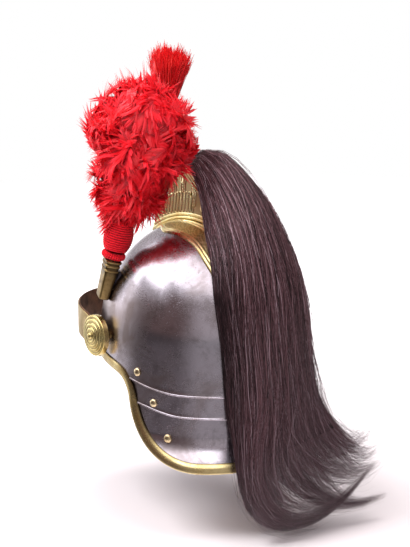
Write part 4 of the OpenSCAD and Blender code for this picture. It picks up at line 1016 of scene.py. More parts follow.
def makeHolder():
    length = plume["holderLength"]
    mouth = [(-12.2, 0), (-11.7, 0.5), (-10.9, 0.8), (-10.1, 0.5), (-9.6, 0), (-7.3, 0), (-6.7, 0.7), (-5.7, 1.0),
             (-4.7, 0.7), (-4.1, 0.1), (-2.8, 0.1), (-2.2, 0.8), (-1.2, 1.25), (-0.3, 1.1), (0, 0.7)]
    profile = [(0, -0.8), (0.5, -0.2), (1.2, 0), (8, 0), (16, 0), (24, 0)] + [(length + a, o) for a, o in mouth]
    dark = [0.75 if s > length - 13 and out < 0.2 else 0.0 for s, out in profile] + [0.8] * 3
    profile += [(s, -plume["holderSheet"]) for s in (length, length - 1, 2)]
    points, faces = skinLoops([holderRing(s, out) for s, out in profile])
    addPiece("plume_socket", points, faces, holderBrass, "helmet", ["plume_holder"], "holder_brass", 40,
             np.repeat(dark, 64))


makeHolder()


# Mane

# outline and widths hold [degrees back from straight up, reach or half-width]; hang holds
# [height, shift, half-width, reach]; sweep holds [right and left ends, half-thickness] in the picture's axes
mane = dict(
    pivot=(20, 40), topCurve=((-62, 213), (-17, 200), (98, 86)), crestHalf=12.0, relief=0.8, crestRear=98,
    outline=((-12, 148), (-4.5, 152.5), (4.6, 150.5), (11.4, 147), (18.3, 140), (26.6, 134), (34, 129.5), (44, 124.5),
             (54, 119.6), (65, 117), (77, 116), (90, 118)),
    widths=((-12, 9), (-4.5, 12.5), (3, 15.5), (11.4, 19), (22, 25), (39, 35), (60, 43), (76, 49), (90, 51)),
    hang=((20, 0, 51.5, 120), (-3, -1, 51, 122), (-26, -3, 50, 123), (-46, -6, 51, 124)),
    sweep=((((141, 76, -84), (42, 133, -108)), 15), (((145, 75, -93), (43, 132, -126)), 16),
           (((150, 72, -100), (52, 124, -156)), 18), (((157, 68, -103), (72, 114, -176)), 19),
           (((164, 64, -104), (100, 98, -184)), 18), (((172, 60, -104), (135, 80, -174)), 16),
           (((181, 56, -106), (163, 66, -153)), 13), (((189, 54, -110), (182, 58, -134)), 8),
           (((195, 52, -116), (193, 53, -123)), 3)),
    heading=140, gap=3.2, guides=2100, strands=4, pieces=8, points=20, hairRadius=0.24, quickRadius=1.8, spread=1.9,
    waviness=9, waveSize=26.0, shortest=0.8, thinnest=0.4, lockShade=0.2, outerShare=0.7, outerLayer=(0.8, 1.03),
    innerLayer=(0.1, 0.8), rootRows=9.5, endSpread=2.2, shortShare=0.15, shortBy=4.0, steps=34, partAt=26,
    partSpread=16, partFrom=(0.60, 0.68), partReach=(0.62, 1.0), lowest=-188, held=(0.6, 160, -117),
    coreHalf=0.82, coreDepth=(0.7, 0.12), seed=11)
# loose hairs that stray from the mane
strays = dict(count=260, spread=9, waviness=20, waveSize=14.0, radius=0.16, held=(0.7, 155, -112), seed=77)


def lookUp(x, table):
    table = np.asarray(table, float)
    return np.interp(x, table[:, 0], table[:, 1])


# how far along the way at a degrees from straight up, out of the pivot raised to z, the skull's surface lies
def skullReach(a, z, x):
    (c, s), y0 = turned(a), mane["pivot"][0]
    b, h, w = helmet["halfLength"], helmet["height"], helmet["halfWidth"]
    if z < 0 or a == 90:
        g = float(girth(z))
        return b * g * np.sqrt(np.maximum(0.001, 1 - (x / (w * g)) ** 2)) - y0
    qa = s * s / b / b + c * c / h / h
    qb = y0 * s / b / b + z * c / h / h
    qc = y0 * y0 / b / b + z * z / h / h + x * x / w / w - 1
    return (-qb + np.sqrt(np.maximum(0, qb * qb - qa * qc))) / qa


# one row across the mane's flow: k from the wearer's right (-1) to the left (1), d from the inside (0) out (1)
class ManeRow:
    def __init__(self, a, z, shift, w, reach, ridge, drape):
        self.form = (a, z, shift, w, reach, ridge, drape)

    def at(self, k, d):
        a, z, shift, w, reach, ridge, drape = self.form
        k, d = np.broadcast_arrays(np.asarray(k, float), np.asarray(d, float))
        x = w * np.sin(np.radians(90 * np.clip(k, -1, 1)))
        wrap = 5 * smoothStep((w - 15.5) / 3.5)
        notch = min(w * 0.88, mane["crestHalf"] + mane["relief"] * 1.6 + 0.7)

        def floorAt(u):
            return (ridge - wrap) * (1 - drape) + (skullReach(a, z, u + shift) + mane["gap"]) * drape

        floor = floorAt(x)
        inner = np.where(np.abs(x) < notch, np.maximum(ridge, floor), floor)
        edge = min(float(floorAt(np.array(w))), float(floorAt(np.array(-w)))) + 3
        arch = np.maximum(0, 1 - (np.abs(x) / w) ** 2.3) ** (1 / 2.3)
        outer = edge + (reach - edge) * arch
        inner = np.minimum(inner, outer - 0.5)
        r = inner + (outer - inner) * d
        c, s = turned(a)
        return np.stack([x + shift, mane["pivot"][0] + r * s, z + r * c], -1)


# from the picture's own axes (across, towards the viewer, height) to the helmet's
def onPicture(points):
    c, s = turned(mane["heading"])
    u, w, z = np.moveaxis(np.asarray(points, float), -1, 0)
    return np.stack([c * u + s * w, s * u - c * w, z], -1)


# a row of the swept end, between its right and left ends in the picture
class SweepRow:
    def __init__(self, ends, half):
        (self.right, self.left), self.half, self.out = onPicture(ends), half, onPicture((0, 1, 0))

    def at(self, k, d):
        k, d = np.broadcast_arrays(np.asarray(k, float), np.asarray(d, float))
        k = np.clip(k, -1, 1)
        f = ((1 + np.sin(np.radians(90 * k))) / 2)[..., None]
        bulge = self.half * np.cos(np.radians(90 * k)) * (2 * d - 1)
        return self.right * (1 - f) + self.left * f + self.out * bulge[..., None]


class MixedRow:
    def __init__(self, first, second, part):
        self.first, self.second, self.part = first, second, part

    def at(self, k, d):
        return self.first.at(k, d) * (1 - self.part) + self.second.at(k, d) * self.part


# a row round the pivot: its turn, height, shift, half-width and reach
def pivotForm(a):
    return a, mane["pivot"][1], 0, float(lookUp(a, mane["widths"])), float(lookUp(a, mane["outline"]))


def crestRow(t):
    p = bezier(mane["topCurve"], t) - np.array(mane["pivot"])
    a = math.degrees(math.atan2(p[0], p[1]))
    return ManeRow(*pivotForm(a), float(np.hypot(*p)) + 0.5, float(smoothStep((a - 4) / 12)))


def rearRow(a):
    ridge = (mane["crestRear"] + 1.5 - mane["pivot"][0]) / math.sin(math.radians(a)) if a < 78 else 0
    return ManeRow(*pivotForm(a), ridge, 1)


def hangRow(q):
    return ManeRow(90, q[0], q[1], q[2], q[3], 0, 1)


maneRows = [crestRow(t) for t in (0.46, 0.5, 0.55, 0.61, 0.67, 0.73, 0.79, 0.85, 0.91, 0.96, 1.0)]
maneRows += [rearRow(a) for a in (66, 74, 82, 90)]
maneRows += [hangRow(q) for q in mane["hang"]]
maneRows += [MixedRow(hangRow(mane["hang"][-1]), SweepRow(*mane["sweep"][0]), f) for f in (0.25, 0.5, 0.75)]
maneRows += [SweepRow(*q) for q in mane["sweep"]]
lastRow = len(maneRows) - 1


# smooth curve through the rows for every strand: places v along the rows, k across, d deep
def flowPaths(v, k, d):
    count, steps = v.shape
    rows = np.arange(count)
    at = np.zeros((count, lastRow + 3, 3))
    for i, row in enumerate(maneRows):
        s = (i - v[:, 0]) / (v[:, -1] - v[:, 0] + 1e-6)
        s = np.clip(s, 0, 1) * (steps - 1)
        low = np.floor(s).astype(int).clip(0, steps - 2)
        part = s - low
        ki = k[rows, low] * (1 - part) + k[rows, low + 1] * part
        di = d[rows, low] * (1 - part) + d[rows, low + 1] * part
        at[:, i + 1] = row.at(ki, di)
    at[:, 0] = 2 * at[:, 1] - at[:, 2]
    at[:, -1] = 2 * at[:, -2] - at[:, -3]
    i = np.floor(v).astype(int).clip(0, lastRow - 1)
    f = (v - i)[..., None]
    p0, p1, p2, p3 = (at[rows[:, None], i + q] for q in range(4))
    square, cube = 2 * p0 - 5 * p1 + 4 * p2 - p3, 3 * p1 - p0 - 3 * p2 + p3
    return 0.5 * (2 * p1 + (p2 - p0) * f + square * f ** 2 + cube * f ** 3)


# evens out the points of each path
def evenPaths(paths, count):
    step = np.linalg.norm(np.diff(paths, axis=1), axis=2)
    along = np.concatenate([np.zeros((len(paths), 1)), np.cumsum(step, 1)], 1)
    out = np.zeros((len(paths), count, 3))
    for i in range(len(paths)):
        want = np.linspace(0, along[i, -1], count)
        for c in range(3):
            out[i, :, c] = np.interp(want, along[i], paths[i, :, c])
    return out


# The strand tree: each guide line grows a lock of tapered hairs

# starts a tree with named inputs, and gives it with their sockets
def startTree(name, inputs):
    tree = bpy.data.node_groups.new(name, "GeometryNodeTree")
    face = tree.interface
    face.new_socket("Geometry", in_out="INPUT", socket_type="NodeSocketGeometry")
    for key, value in inputs.items():
        kind = "NodeSocketInt" if isinstance(value, int) else "NodeSocketFloat"
        face.new_socket(key, in_out="INPUT", socket_type=kind).default_value = value
    face.new_socket("Material", in_out="INPUT", socket_type="NodeSocketMaterial")
    face.new_socket("Geometry", in_out="OUTPUT", socket_type="NodeSocketGeometry")
    return tree, {s.name: s for s in addNode(tree, "NodeGroupInput").outputs if s.name}


def endTree(tree, geometry, material):
    smooth = addNode(tree, "GeometryNodeSetShadeSmooth", {"Geometry": geometry})
    real = addNode(tree, "GeometryNodeRealizeInstances", {"Geometry": smooth.outputs[0]})
    painted = addNode(tree, "GeometryNodeSetMaterial", {"Geometry": real.outputs[0], "Material": material})
    addNode(tree, "NodeGroupOutput", {0: painted.outputs[0]})
    return tree


def recall(tree, name, kind="FLOAT"):
    node = addNode(tree, "GeometryNodeInputNamedAttribute", {"Name": name}, data_type=kind)
    return node.outputs["Attribute"]


def makeStrandTree(name, flat):
    tree, g = startTree(name, {
        "Strands": 8, "Root spread": 0.002, "Tip spread": 0.001, "Hair radius": 0.0002, "Waviness": 0.001,
        "Wave size": 40.0, "Shortest": 0.9, "Sides": 3, "Tip width": 0.15, "Lock shade": 0.25, "Thinnest": 1.0,
        "Seed": 1})
    curve = addNode(tree, "GeometryNodeMeshToCurve", {"Mesh": g["Geometry"]}).outputs["Curve"]
    many = addNode(tree, "GeometryNodeDuplicateElements", {"Geometry": curve, "Amount": g["Strands"]}, domain="SPLINE")

    def randomOf(kind, extra, values, output):
        values["Seed"] = mathOf(tree, "ADD", g["Seed"], float(extra))
        return socketOf(addNode(tree, "FunctionNodeRandomValue", values, data_type=kind).outputs, output)

    def randomFloat(low, high, extra, lock=None):
        values = {"Min_001": low, "Max_001": high}
        if lock:
            values["ID"] = lock
        return randomOf("FLOAT", extra, values, "Value_001")

    def randomVector(extra):
        return randomOf("FLOAT_VECTOR", extra, {"Min": (-1, -1, -1), "Max": (1, 1, 1)}, "Value")

    def keep(geometry, name, value, kind="FLOAT", domain="CURVE"):
        return addNode(tree, "GeometryNodeStoreNamedAttribute", {"Geometry": geometry, "Name": name, "Value": value},
                       data_type=kind, domain=domain).outputs[0]

    made = keep(many.outputs["Geometry"], "strandOffset", randomVector(1), "FLOAT_VECTOR")
    made = keep(made, "strandWave", randomVector(2), "FLOAT_VECTOR")
    guide = recall(tree, "guideIndex", "INT")
    lockShade = randomFloat(-1.0, 1.0, 7, guide)
    shade = mathOf(tree, "MULTIPLY_ADD", lockShade, g["Lock shade"], randomFloat(0.0, 1.0, 3))
    made = keep(made, "strandShade", shade)
    made = keep(made, "strandWidth", randomFloat(g["Thinnest"], 1.0, 6))
    factor = addNode(tree, "GeometryNodeSplineParameter").outputs["Factor"]
    # a hair ends early by drawing its points back along itself
    made = keep(made, "strandCut", randomFloat(g["Shortest"], 1.0, 4))
    place = mathOf(tree, "MULTIPLY", factor, recall(tree, "strandCut"))
    sample = addNode(tree, "GeometryNodeSampleCurve", {"Curves": curve, "Factor": place, "Curve Index": guide},
                     mode="FACTOR", data_type="FLOAT")
    made = keep(made, "strandPlace", factor, domain="POINT")
    # its lock spreads or gathers towards the tip, and a noise of its own waves it
    spread = ramp(tree, factor, 0.0, 1.0, g["Root spread"], g["Tip spread"])
    shift = vectorOf(tree, "SCALE", recall(tree, "strandOffset", "FLOAT_VECTOR"), spread)
    point = sample.outputs["Position"]
    wavePlace = vectorOf(tree, "ADD", vectorOf(tree, "SCALE", point, g["Wave size"]),
                         recall(tree, "strandWave", "FLOAT_VECTOR"))
    noise = addNode(tree, "ShaderNodeTexNoise", {"Vector": wavePlace, "Scale": 1.0, "Detail": 1.0}).outputs["Color"]
    noise = vectorOf(tree, "SCALE", vectorOf(tree, "SUBTRACT", noise, (0.5, 0.5, 0.5)),
                     mathOf(tree, "MULTIPLY", factor, g["Waviness"]))
    moved = vectorOf(tree, "ADD", vectorOf(tree, "ADD", point, shift), noise)
    line = addNode(tree, "GeometryNodeSetPosition", {"Geometry": made, "Position": moved}).outputs[0]
    if flat:
        low, high = (addNode(tree, "ShaderNodeCombineXYZ", {"X": x}).outputs[0]
                     for x in (mathOf(tree, "MULTIPLY", g["Hair radius"], -1.0), g["Hair radius"]))
        profile = addNode(tree, "GeometryNodeCurvePrimitiveLine", {"Start": low, "End": high})
        line = addNode(tree, "GeometryNodeSetCurveNormal",
                       {"Curve": line, "Normal": recall(tree, "faceWay", "FLOAT_VECTOR")}, mode="FREE").outputs[0]
    else:
        profile = addNode(tree, "GeometryNodeCurvePrimitiveCircle",
                          {"Resolution": g["Sides"], "Radius": g["Hair radius"]})
    width = mathOf(tree, "MULTIPLY", ramp(tree, factor, 0.55, 1.0, 1.0, g["Tip width"]), recall(tree, "strandWidth"))
    tube = addNode(tree, "GeometryNodeCurveToMesh",
                   {"Curve": line, "Profile Curve": profile.outputs[0], "Scale": width, "Fill Caps": True})
    return endTree(tree, tube.outputs[0], g["Material"])


strandTree = makeStrandTree("hairs along guides", False)
barbTree = makeStrandTree("flat barbs along guides", True)


# grows one tree's result into a plain mesh
def growPiece(name, source, tree, settings, material, body, nodes, slot):
    modifier = source.modifiers.new("grow", "NODES")
    modifier.node_group = tree
    for item in tree.interface.items_tree:
        if item.in_out == "INPUT" and item.name in settings:
            modifier[item.identifier] = settings[item.name]
        if item.in_out == "INPUT" and item.name == "Material":
            modifier[item.identifier] = material
    graph = bpy.context.evaluated_depsgraph_get()
    grown = source.evaluated_get(graph)
    mesh = bpy.data.meshes.new_from_object(grown, preserve_all_data_layers=True, depsgraph=graph)
    source.modifiers.clear()
    bpy.data.objects.remove(source)
    # the materials read only strandShade and strandPlace
    for a in [a.name for a in mesh.attributes]:
        if a.startswith(("strand", "guide", "face")) and a not in ("strandShade", "strandPlace"):
            mesh.attributes.remove(mesh.attributes[a])
    mesh.name = name
    finishPiece(addObject(name, mesh), body, nodes, 0)


def setWays(mesh, name, ways):
    face = mesh.attributes.new(name, "FLOAT_VECTOR", "POINT")
    face.data.foreach_set("vector", np.asarray(ways).reshape(-1).astype(np.float32))


# a mesh of open lines, one for each path
def guideObject(name, paths, ways=None):
    count, steps = paths.shape[:2]
    edges = [(i * steps + j, i * steps + j + 1) for i in range(count) for j in range(steps - 1)]
    mesh = pointMesh(name, paths, edges)
    index = mesh.attributes.new("guideIndex", "INT", "POINT")
    index.data.foreach_set("value", np.repeat(np.arange(count), steps).astype(np.int32))
    if ways is not None:
        setWays(mesh, "faceWay", ways)
    return addObject(name, mesh)


# the wisps at the mane's end, in the picture's axes: [share of the locks, path, spread, tipward]; the lower
# tipward, the more of the locks reach the path's end
wisps = (
    (0.13, ((118, 62, -108), (135, 56, -112), (141, 54, -98), (142, 52, -82)), 9, 0.8),
    (0.12, ((140, 60, -118), (166, 56, -120), (180, 52, -104), (176, 50, -80)), 8, 0.8),
    (0.13, ((145, 58, -128), (172, 54, -134), (190, 50, -124), (193, 48, -106)), 8, 0.8),
    (0.16, ((130, 66, -150), (160, 60, -148), (182, 54, -138), (197, 50, -126)), 7, 0.8),
    (0.13, ((100, 84, -172), (135, 74, -178), (172, 62, -172), (216, 56, -162)), 4, 0.35),
    (0.08, ((60, 110, -168), (80, 104, -180), (104, 92, -184), (130, 84, -183)), 6, 0.8))


# a slow random drift along each path, nothing at the root
def drift(rng, count, steps, size):
    knots = rng.normal(0, size, (count, 6))
    knots[:, 0] = 0
    at = np.linspace(0, 5, steps)
    return np.stack([np.interp(at, np.arange(6), q) for q in knots])


# eases paths back towards the mane's body where they stray past a place behind or to the right
def heldIn(paths, part, behind, right):
    paths[..., 1] -= part * np.maximum(paths[..., 1] - behind, 0)
    paths[..., 0] += part * np.maximum(right - paths[..., 0], 0)


def maneGuides(count, rng):
    steps = mane["steps"]
    # most locks lie in the outer layer, where they are seen
    outside = rng.random(count) < mane["outerShare"]
    deep = np.where(outside, rng.uniform(*mane["outerLayer"], count), rng.uniform(*mane["innerLayer"], count))
    side = rng.uniform(-1, 1, count)
    side = np.sign(side) * np.abs(side) ** 0.92
    root = rng.uniform(0, 1, count) ** 1.3 * mane["rootRows"] * (1.05 - deep)
    end = lastRow - np.abs(rng.normal(0, mane["endSpread"], count))
    end = end - mane["shortBy"] * (rng.random(count) < mane["shortShare"])
    s = np.linspace(0, 1, steps)[None]
    v = root[:, None] + (end - root)[:, None] * s
    gather = smoothStep(s / 0.22)
    k = side[:, None] * (0.94 + 0.06 * gather) + drift(rng, count, steps, 0.07) + rng.normal(0, 0.1, (count, 1)) * s
    d = deep[:, None] * (0.35 + 0.65 * smoothStep(s / 0.12)) + drift(rng, count, steps, 0.035)
    paths = flowPaths(v, k, d)
    # the lower ends part into wisps, by how far across the mane each lock lies
    across = paths[:, mane["partAt"]] @ onPicture((1, 0, 0)) + rng.normal(0, mane["partSpread"], count)
    order = np.argsort(-across)
    wisp = np.full(count, -1)
    upTo = 0
    for i, given in enumerate(wisps):
        n = int(given[0] * count)
        wisp[order[upTo:upTo + n]] = i
        upTo += n
    q = s[0]
    for i, (share, line, spread, tipward) in enumerate(wisps):
        rows = np.where(wisp == i)[0]
        n = len(rows)
        curve = cubic(*onPicture(line), q[:, None])
        start = rng.uniform(*mane["partFrom"], n)[:, None]
        f = np.clip((q[None] - start) / (1 - start), 0, 1)
        reach = rng.uniform(*mane["partReach"], n)[:, None] ** tipward
        at = np.stack([np.interp(f * reach, q, curve[:, c]) for c in range(3)], -1)
        off = rng.normal(0, 1, (n, 1, 3)) * spread * (1.25 - 0.7 * f[..., None])
        off[..., 2] *= 0.7
        fold = smoothStep(f / 0.75)[..., None]
        paths[rows] = paths[rows] * (1 - fold) + (at + off) * fold
    paths[..., 2] = np.maximum(paths[..., 2], mane["lowest"] + rng.uniform(0, 4, (count, 1)))
    heldIn(paths, *mane["held"])
    return evenPaths(paths, mane["points"])


def makeMane():
    rng = np.random.default_rng(mane["seed"])
    guides = maneGuides(mane["guides"] // (1), rng)
    order = np.argsort(guides[:, mane["points"] // 2, 0])
    given = (maneHair, "helmet", ["mane"], "mane_hair")
    settings = {"Strands": mane["strands"], "Root spread": mane["spread"] * mm, "Tip spread": mane["spread"] * 0.5 * mm,
                "Hair radius": mane["hairRadius"] * mm * 1,
                "Waviness": mane["waviness"] * mm, "Wave size": mane["waveSize"], "Shortest": mane["shortest"],
                "Thinnest": mane["thinnest"], "Lock shade": mane["lockShade"]}
    for i, part in enumerate(np.array_split(guides[order], mane["pieces"])):
        settings["Seed"] = mane["seed"] + i
        source = guideObject("mane_guides_%d" % i, part)
        growPiece("mane_hair_%d" % (i + 1), source, strandTree, settings, *given)
    loose = maneGuides(strays["count"], rng)
    apart = rng.normal(0, strays["spread"], (len(loose), 1, 3))
    loose = loose + np.linspace(0, 1, mane["points"])[None, :, None] ** 1.5 * apart
    loose[..., 2] = np.maximum(loose[..., 2], mane["lowest"])
    heldIn(loose, *strays["held"])
    settings.update({"Strands": 1, "Waviness": strays["waviness"] * mm, "Wave size": strays["waveSize"],
                     "Hair radius": strays["radius"] * mm, "Seed": strays["seed"]})
    growPiece("mane_strays", guideObject("stray_guides", loose), strandTree, settings, *given)
    # a dark core under the strands, so that no light shows through
    k = np.linspace(-mane["coreHalf"], mane["coreHalf"], 24)
    outer, inner = mane["coreDepth"]
    points, faces = skinLoops([np.concatenate([row.at(k, outer), row.at(k[::-1], inner)])
                               for row in maneRows[1:lastRow - 7]])
    addPiece("mane_core", points, faces, maneCore, "helmet", ["mane"], "mane_hair", 0)


makeMane()
print("stage: mane")


# Plume: bound collar, thread-wound olive and feathers

def growThread(name, path, radius, sides, node):
    settings = {"Strands": 1, "Root spread": 0.0, "Tip spread": 0.0, "Hair radius": radius * mm, "Waviness": 0.0,
                "Shortest": 1.0, "Sides": sides, "Tip width": 1.0, "Seed": 1}
    growPiece(name, guideObject(name + "_line", onPlume(path)[None]), strandTree, settings, thread, "plume", [node],
              "plume_thread")


def makeOlive():
    p = plume
    k = np.linspace(0, 1, p["threadTurns"] * 30 + 1)
    a = np.radians(p["windFrom"] + (p["windTo"] - p["windFrom"]) * k)
    b = 2 * pi * p["threadTurns"] * k
    r = p["oliveRadius"] - p["threadRadius"]
    path = np.stack([r * np.sin(a) * np.cos(b), r * np.sin(a) * np.sin(b),
                     p["oliveAt"] - (p["oliveHalf"] - p["threadRadius"]) * np.cos(a)], 1)
    growThread("olive_thread", path, p["threadRadius"], 8, "olive_winding")
    # wool packed under the thread, closed at both ends
    a = np.radians(np.linspace(p["windFrom"] - 1, p["windTo"] + 3, 40))
    under = p["threadRadius"] * 1.7
    body = [(0.0, p["oliveAt"] - p["oliveHalf"] * math.cos(a[0]))]
    body += [((p["oliveRadius"] - under) * math.sin(q), p["oliveAt"] - (p["oliveHalf"] - under) * math.cos(q))
             for q in a]
    body += [(5, body[-1][1] + 0.5), (5, p["neckEnd"]), (0, p["neckEnd"])]
    points, faces = spun(body, p["foot"], plumeFrame, 72)
    addPiece("olive_wool", points, faces, grooveThread, "plume", ["olive_core"], "stem_wood", 40)


# places on the collar: ring round it, tube round its own section, r from the section's middle
def onCollar(ring, tube, r):
    away = plume["collarRing"] + r * np.cos(tube)
    return np.stack([away * np.cos(ring), away * np.sin(ring), plume["collarAt"] + r * np.sin(tube)], -1)


def makeCollar():
    p = plume
    k = np.linspace(0, 1, p["cordTurns"] * 16 + 1)
    path = onCollar(2 * pi * k, 2 * pi * p["cordTurns"] * k, p["collarTube"] - p["cordRadius"])
    growThread("collar_cord", path, p["cordRadius"], 6, "plume_collar")
    ring, tube = (np.linspace(0, 2 * pi, n, endpoint=False) for n in (72, 24))
    points = onPlume(onCollar(*np.broadcast_arrays(ring[:, None], tube), p["collarTube"] - p["cordRadius"] * 1.6))
    points = points.reshape(-1, 3)
    addPiece("collar_roll", points, turnOutward(points, rowFaces(72, 24, closedRows=True)), plugThread, "plume",
             ["plume_collar"], "plume_thread", 0)


makeOlive()
makeCollar()

# rows: [height, left and right outline in the picture, half-depth]; depth: [height, towards the viewer];
# from top upwards the tips are drawn back
feathers = dict(
    rows=((118, -83, -73, 5), (125, -83, -66, 6), (131, -88, -48, 11), (140, -95, -34, 16), (149, -101, -30, 19),
          (160, -95, -25, 22), (171, -102, -17, 25), (182, -95, -8, 28), (194, -102, 0, 30), (207, -110, -2, 31),
          (219, -108, -4, 30), (230, -98, -7, 29), (240, -95, -14, 26), (250, -87, -24, 22), (258, -76, -33, 16),
          (264, -62, -45, 7)),
    depth=((122.5, 26), (137, 33), (160, 38), (264, 40)), count=300, shaftPoints=15, barbs=54, barbLength=(10, 25),
    barbHalf=0.85, barbTip=0.12, shaftRadius=0.35, shaftTip=0.2, top=262, roll=0.34, barbAngle=0.72, barbSweep=0.42,
    barbDroop=0.22, lean=0.10, lift=0.09, down=0.45, downSpan=(122, 240), seed=5, pieces=4)
# the kinds of feather, as a path of (share of the plume's radius, rise above the root in mm) with its weight:
# arching over, lying upright against the plume, and hanging low
featherKinds = (
    (0.42, (118, 238), ((0.08, 0), (0.45, 19), (1.0, 30), (1.08, -4))),
    (0.42, (118, 208), ((0.12, 0), (0.66, 2), (0.95, 24), (1.0, 58))),
    (0.16, (118, 150), ((0.10, 6), (0.55, 12), (1.02, 4), (1.05, -10))))


# places in the plume at height z, a round it, and k of the way from its middle to its outline
def featherShell(z, a, k=1.0):
    rows = np.array(feathers["rows"], float)
    left, right, half = (np.interp(z, rows[:, 0], rows[:, i]) for i in (1, 2, 3))
    v = np.interp(z, *np.array(feathers["depth"], float).T)
    u = (left + right) / 2 + (right - left) / 2 * k * np.cos(a)
    return onPicture(np.stack([u, v + half * k * np.sin(a), z], -1))


# one shaft a row: its points, and the way its vane faces at each
def featherShafts(count, rng):
    s = np.linspace(0, 1, feathers["shaftPoints"])[None]
    top = feathers["top"]
    paths = []
    for share, heights, line in featherKinds:
        n = int(round(share * count))
        root = rng.uniform(*heights, (n, 1))
        line = np.array(line, float)[None] * np.ones((n, 1, 1))
        line[:, 1:, 0] *= rng.uniform(0.6, 1.1, (n, 1))
        line[:, 1:, 1] += rng.normal(0, 5, (n, 3))
        line[:, 3, 1] += rng.uniform(-14, 8, n)
        line[..., 1] *= rng.uniform(0.75, 1.15, (n, 1))
        q = cubic(*(line[:, None, i] for i in range(4)), s[..., None])
        a = rng.uniform(0, 2 * pi, (n, 1)) + rng.normal(0, 0.45, (n, 1)) * s + rng.normal(0, 0.5, (n, 1)) * s ** 3
        z = root + q[..., 1]
        z = np.where(z > top, top - 0.25 * (z - top), z)
        paths.append(featherShell(z, a, q[..., 0]))
    paths = evenPaths(np.concatenate(paths), feathers["shaftPoints"])
    heart = featherShell(paths[..., 2] - 10, np.zeros(paths.shape[:2]), 0.0)
    heart[..., 2] = paths[..., 2] - 10
    return paths, unit(paths - heart)


# the barbs of every vane, with the way across each ribbon
def featherBarbs(shafts, outward, rng):
    f = feathers
    count, steps = shafts.shape[:2]
    s = np.linspace(0.10, 0.985, f["barbs"])
    at = s * (steps - 1)
    low = np.floor(at).astype(int).clip(0, steps - 2)
    part = (at - low)[None, :, None]
    foot = shafts[:, low] * (1 - part) + shafts[:, low + 1] * part
    ahead = unit(np.gradient(shafts, axis=1))[:, low]
    out = outward[:, low]
    roll = rng.normal(0, f["roll"], (count, 1, 1))
    side = unit(np.cross(ahead, out))
    face = unit(np.cross(side, ahead))
    side, face = side * np.cos(roll) + face * np.sin(roll), face * np.cos(roll) - side * np.sin(roll)
    shape = np.clip(np.sin(pi * np.clip(0.16 + 0.82 * s, 0, 1)), 0, 1) ** 0.5
    shortVane, longVane = f["barbLength"]
    longest = shortVane + (longVane - shortVane) * rng.uniform(0, 1, (count, 1, 1)) ** 1.6
    lines, ways = [], []
    k = np.linspace(0, 1, 5)[None, None, :, None]
    knots = np.linspace(0, 1, 9)
    for sign in (1, -1):
        # neighbours lean together, so the vane splits here and there
        lean, lift = (np.stack([np.interp(s, knots, q) for q in rng.normal(0, size, (count, len(knots)))])[..., None]
                      for size in (f["lean"], f["lift"]))
        loose = ((s < 0.3) * (0.3 - s))[None, :, None] * 2
        jitter = rng.normal(0, 1, foot.shape) * (0.02 + loose)
        angle = f["barbAngle"] + lean * 0.6 + 0.5 * (s[None, :, None] > 0.9)
        away = unit(ahead * np.sin(angle) + sign * side * np.cos(angle) + face * (lift - 0.05) + jitter)
        l = (longest * shape[None, :, None] * rng.uniform(0.86, 1.06, (count, len(s), 1)))[:, :, None]
        line = foot[:, :, None] + away[:, :, None] * l * k + ahead[:, :, None] * l * f["barbSweep"] * k ** 2
        line = line - face[:, :, None] * l * f["barbDroop"] * k ** 2
        along = unit(np.gradient(line, axis=2))
        lines.append(line.reshape(-1, 5, 3))
        ways.append(unit(np.cross(along, face[:, :, None] * np.ones_like(along))).reshape(-1, 5, 3))
    return np.concatenate(lines), np.concatenate(ways)


def makeFeathers():
    rng = np.random.default_rng(feathers["seed"])
    shafts, outward = featherShafts(feathers["count"], rng)
    barbs, ways = featherBarbs(shafts, outward, rng)
    order = np.argsort(barbs[:, 0, 2])
    given = (feather, "plume", ["feathers"], "plume_feathers")
    settings = {"Strands": 1, "Root spread": 0.0, "Tip spread": 0.0, "Hair radius": feathers["barbHalf"] * mm,
                "Waviness": 0.0, "Shortest": 1.0, "Tip width": feathers["barbTip"], "Lock shade": 0.0}
    for i, part in enumerate(np.array_split(order, feathers["pieces"])):
        settings["Seed"] = feathers["seed"] + i
        source = guideObject("barb_guides_%d" % i, barbs[part], ways[part])
        growPiece("feather_barbs_%d" % (i + 1), source, barbTree, settings, *given)
    settings.update({"Hair radius": feathers["shaftRadius"] * mm, "Tip width": feathers["shaftTip"], "Seed": 3})
    growPiece("feather_shafts", guideObject("shaft_guides", shafts), strandTree, settings, *given)
    # down under the feathers, painted near-black as the shade deep in the plume, so that no light shows through
    around = np.linspace(0, 2 * pi, 28, endpoint=False)
    points, faces = skinLoops([featherShell(np.full(28, z), around, feathers["down"])
                               for z in np.linspace(*feathers["downSpan"], 24)])
    addPiece("feather_shade_core", points, faces, paintedShadeDown, "plume", ["feathers"], "plume_feathers", 0)


makeFeathers()
print("stage: plume")


# Tuft

tuft = dict(foot=(0, -53, 208), lean=7.3, start=20.3, sunk=3, length=81, shortest=0.82, root=6.3, top=24, bend=1.6,
            guides=330, strands=8, hairRadius=0.3, rootSpread=0.5, tipSpread=2.6, waviness=2.5, waveSize=45.0,
            strandShortest=0.84, tipWidth=0.6, seed=9)


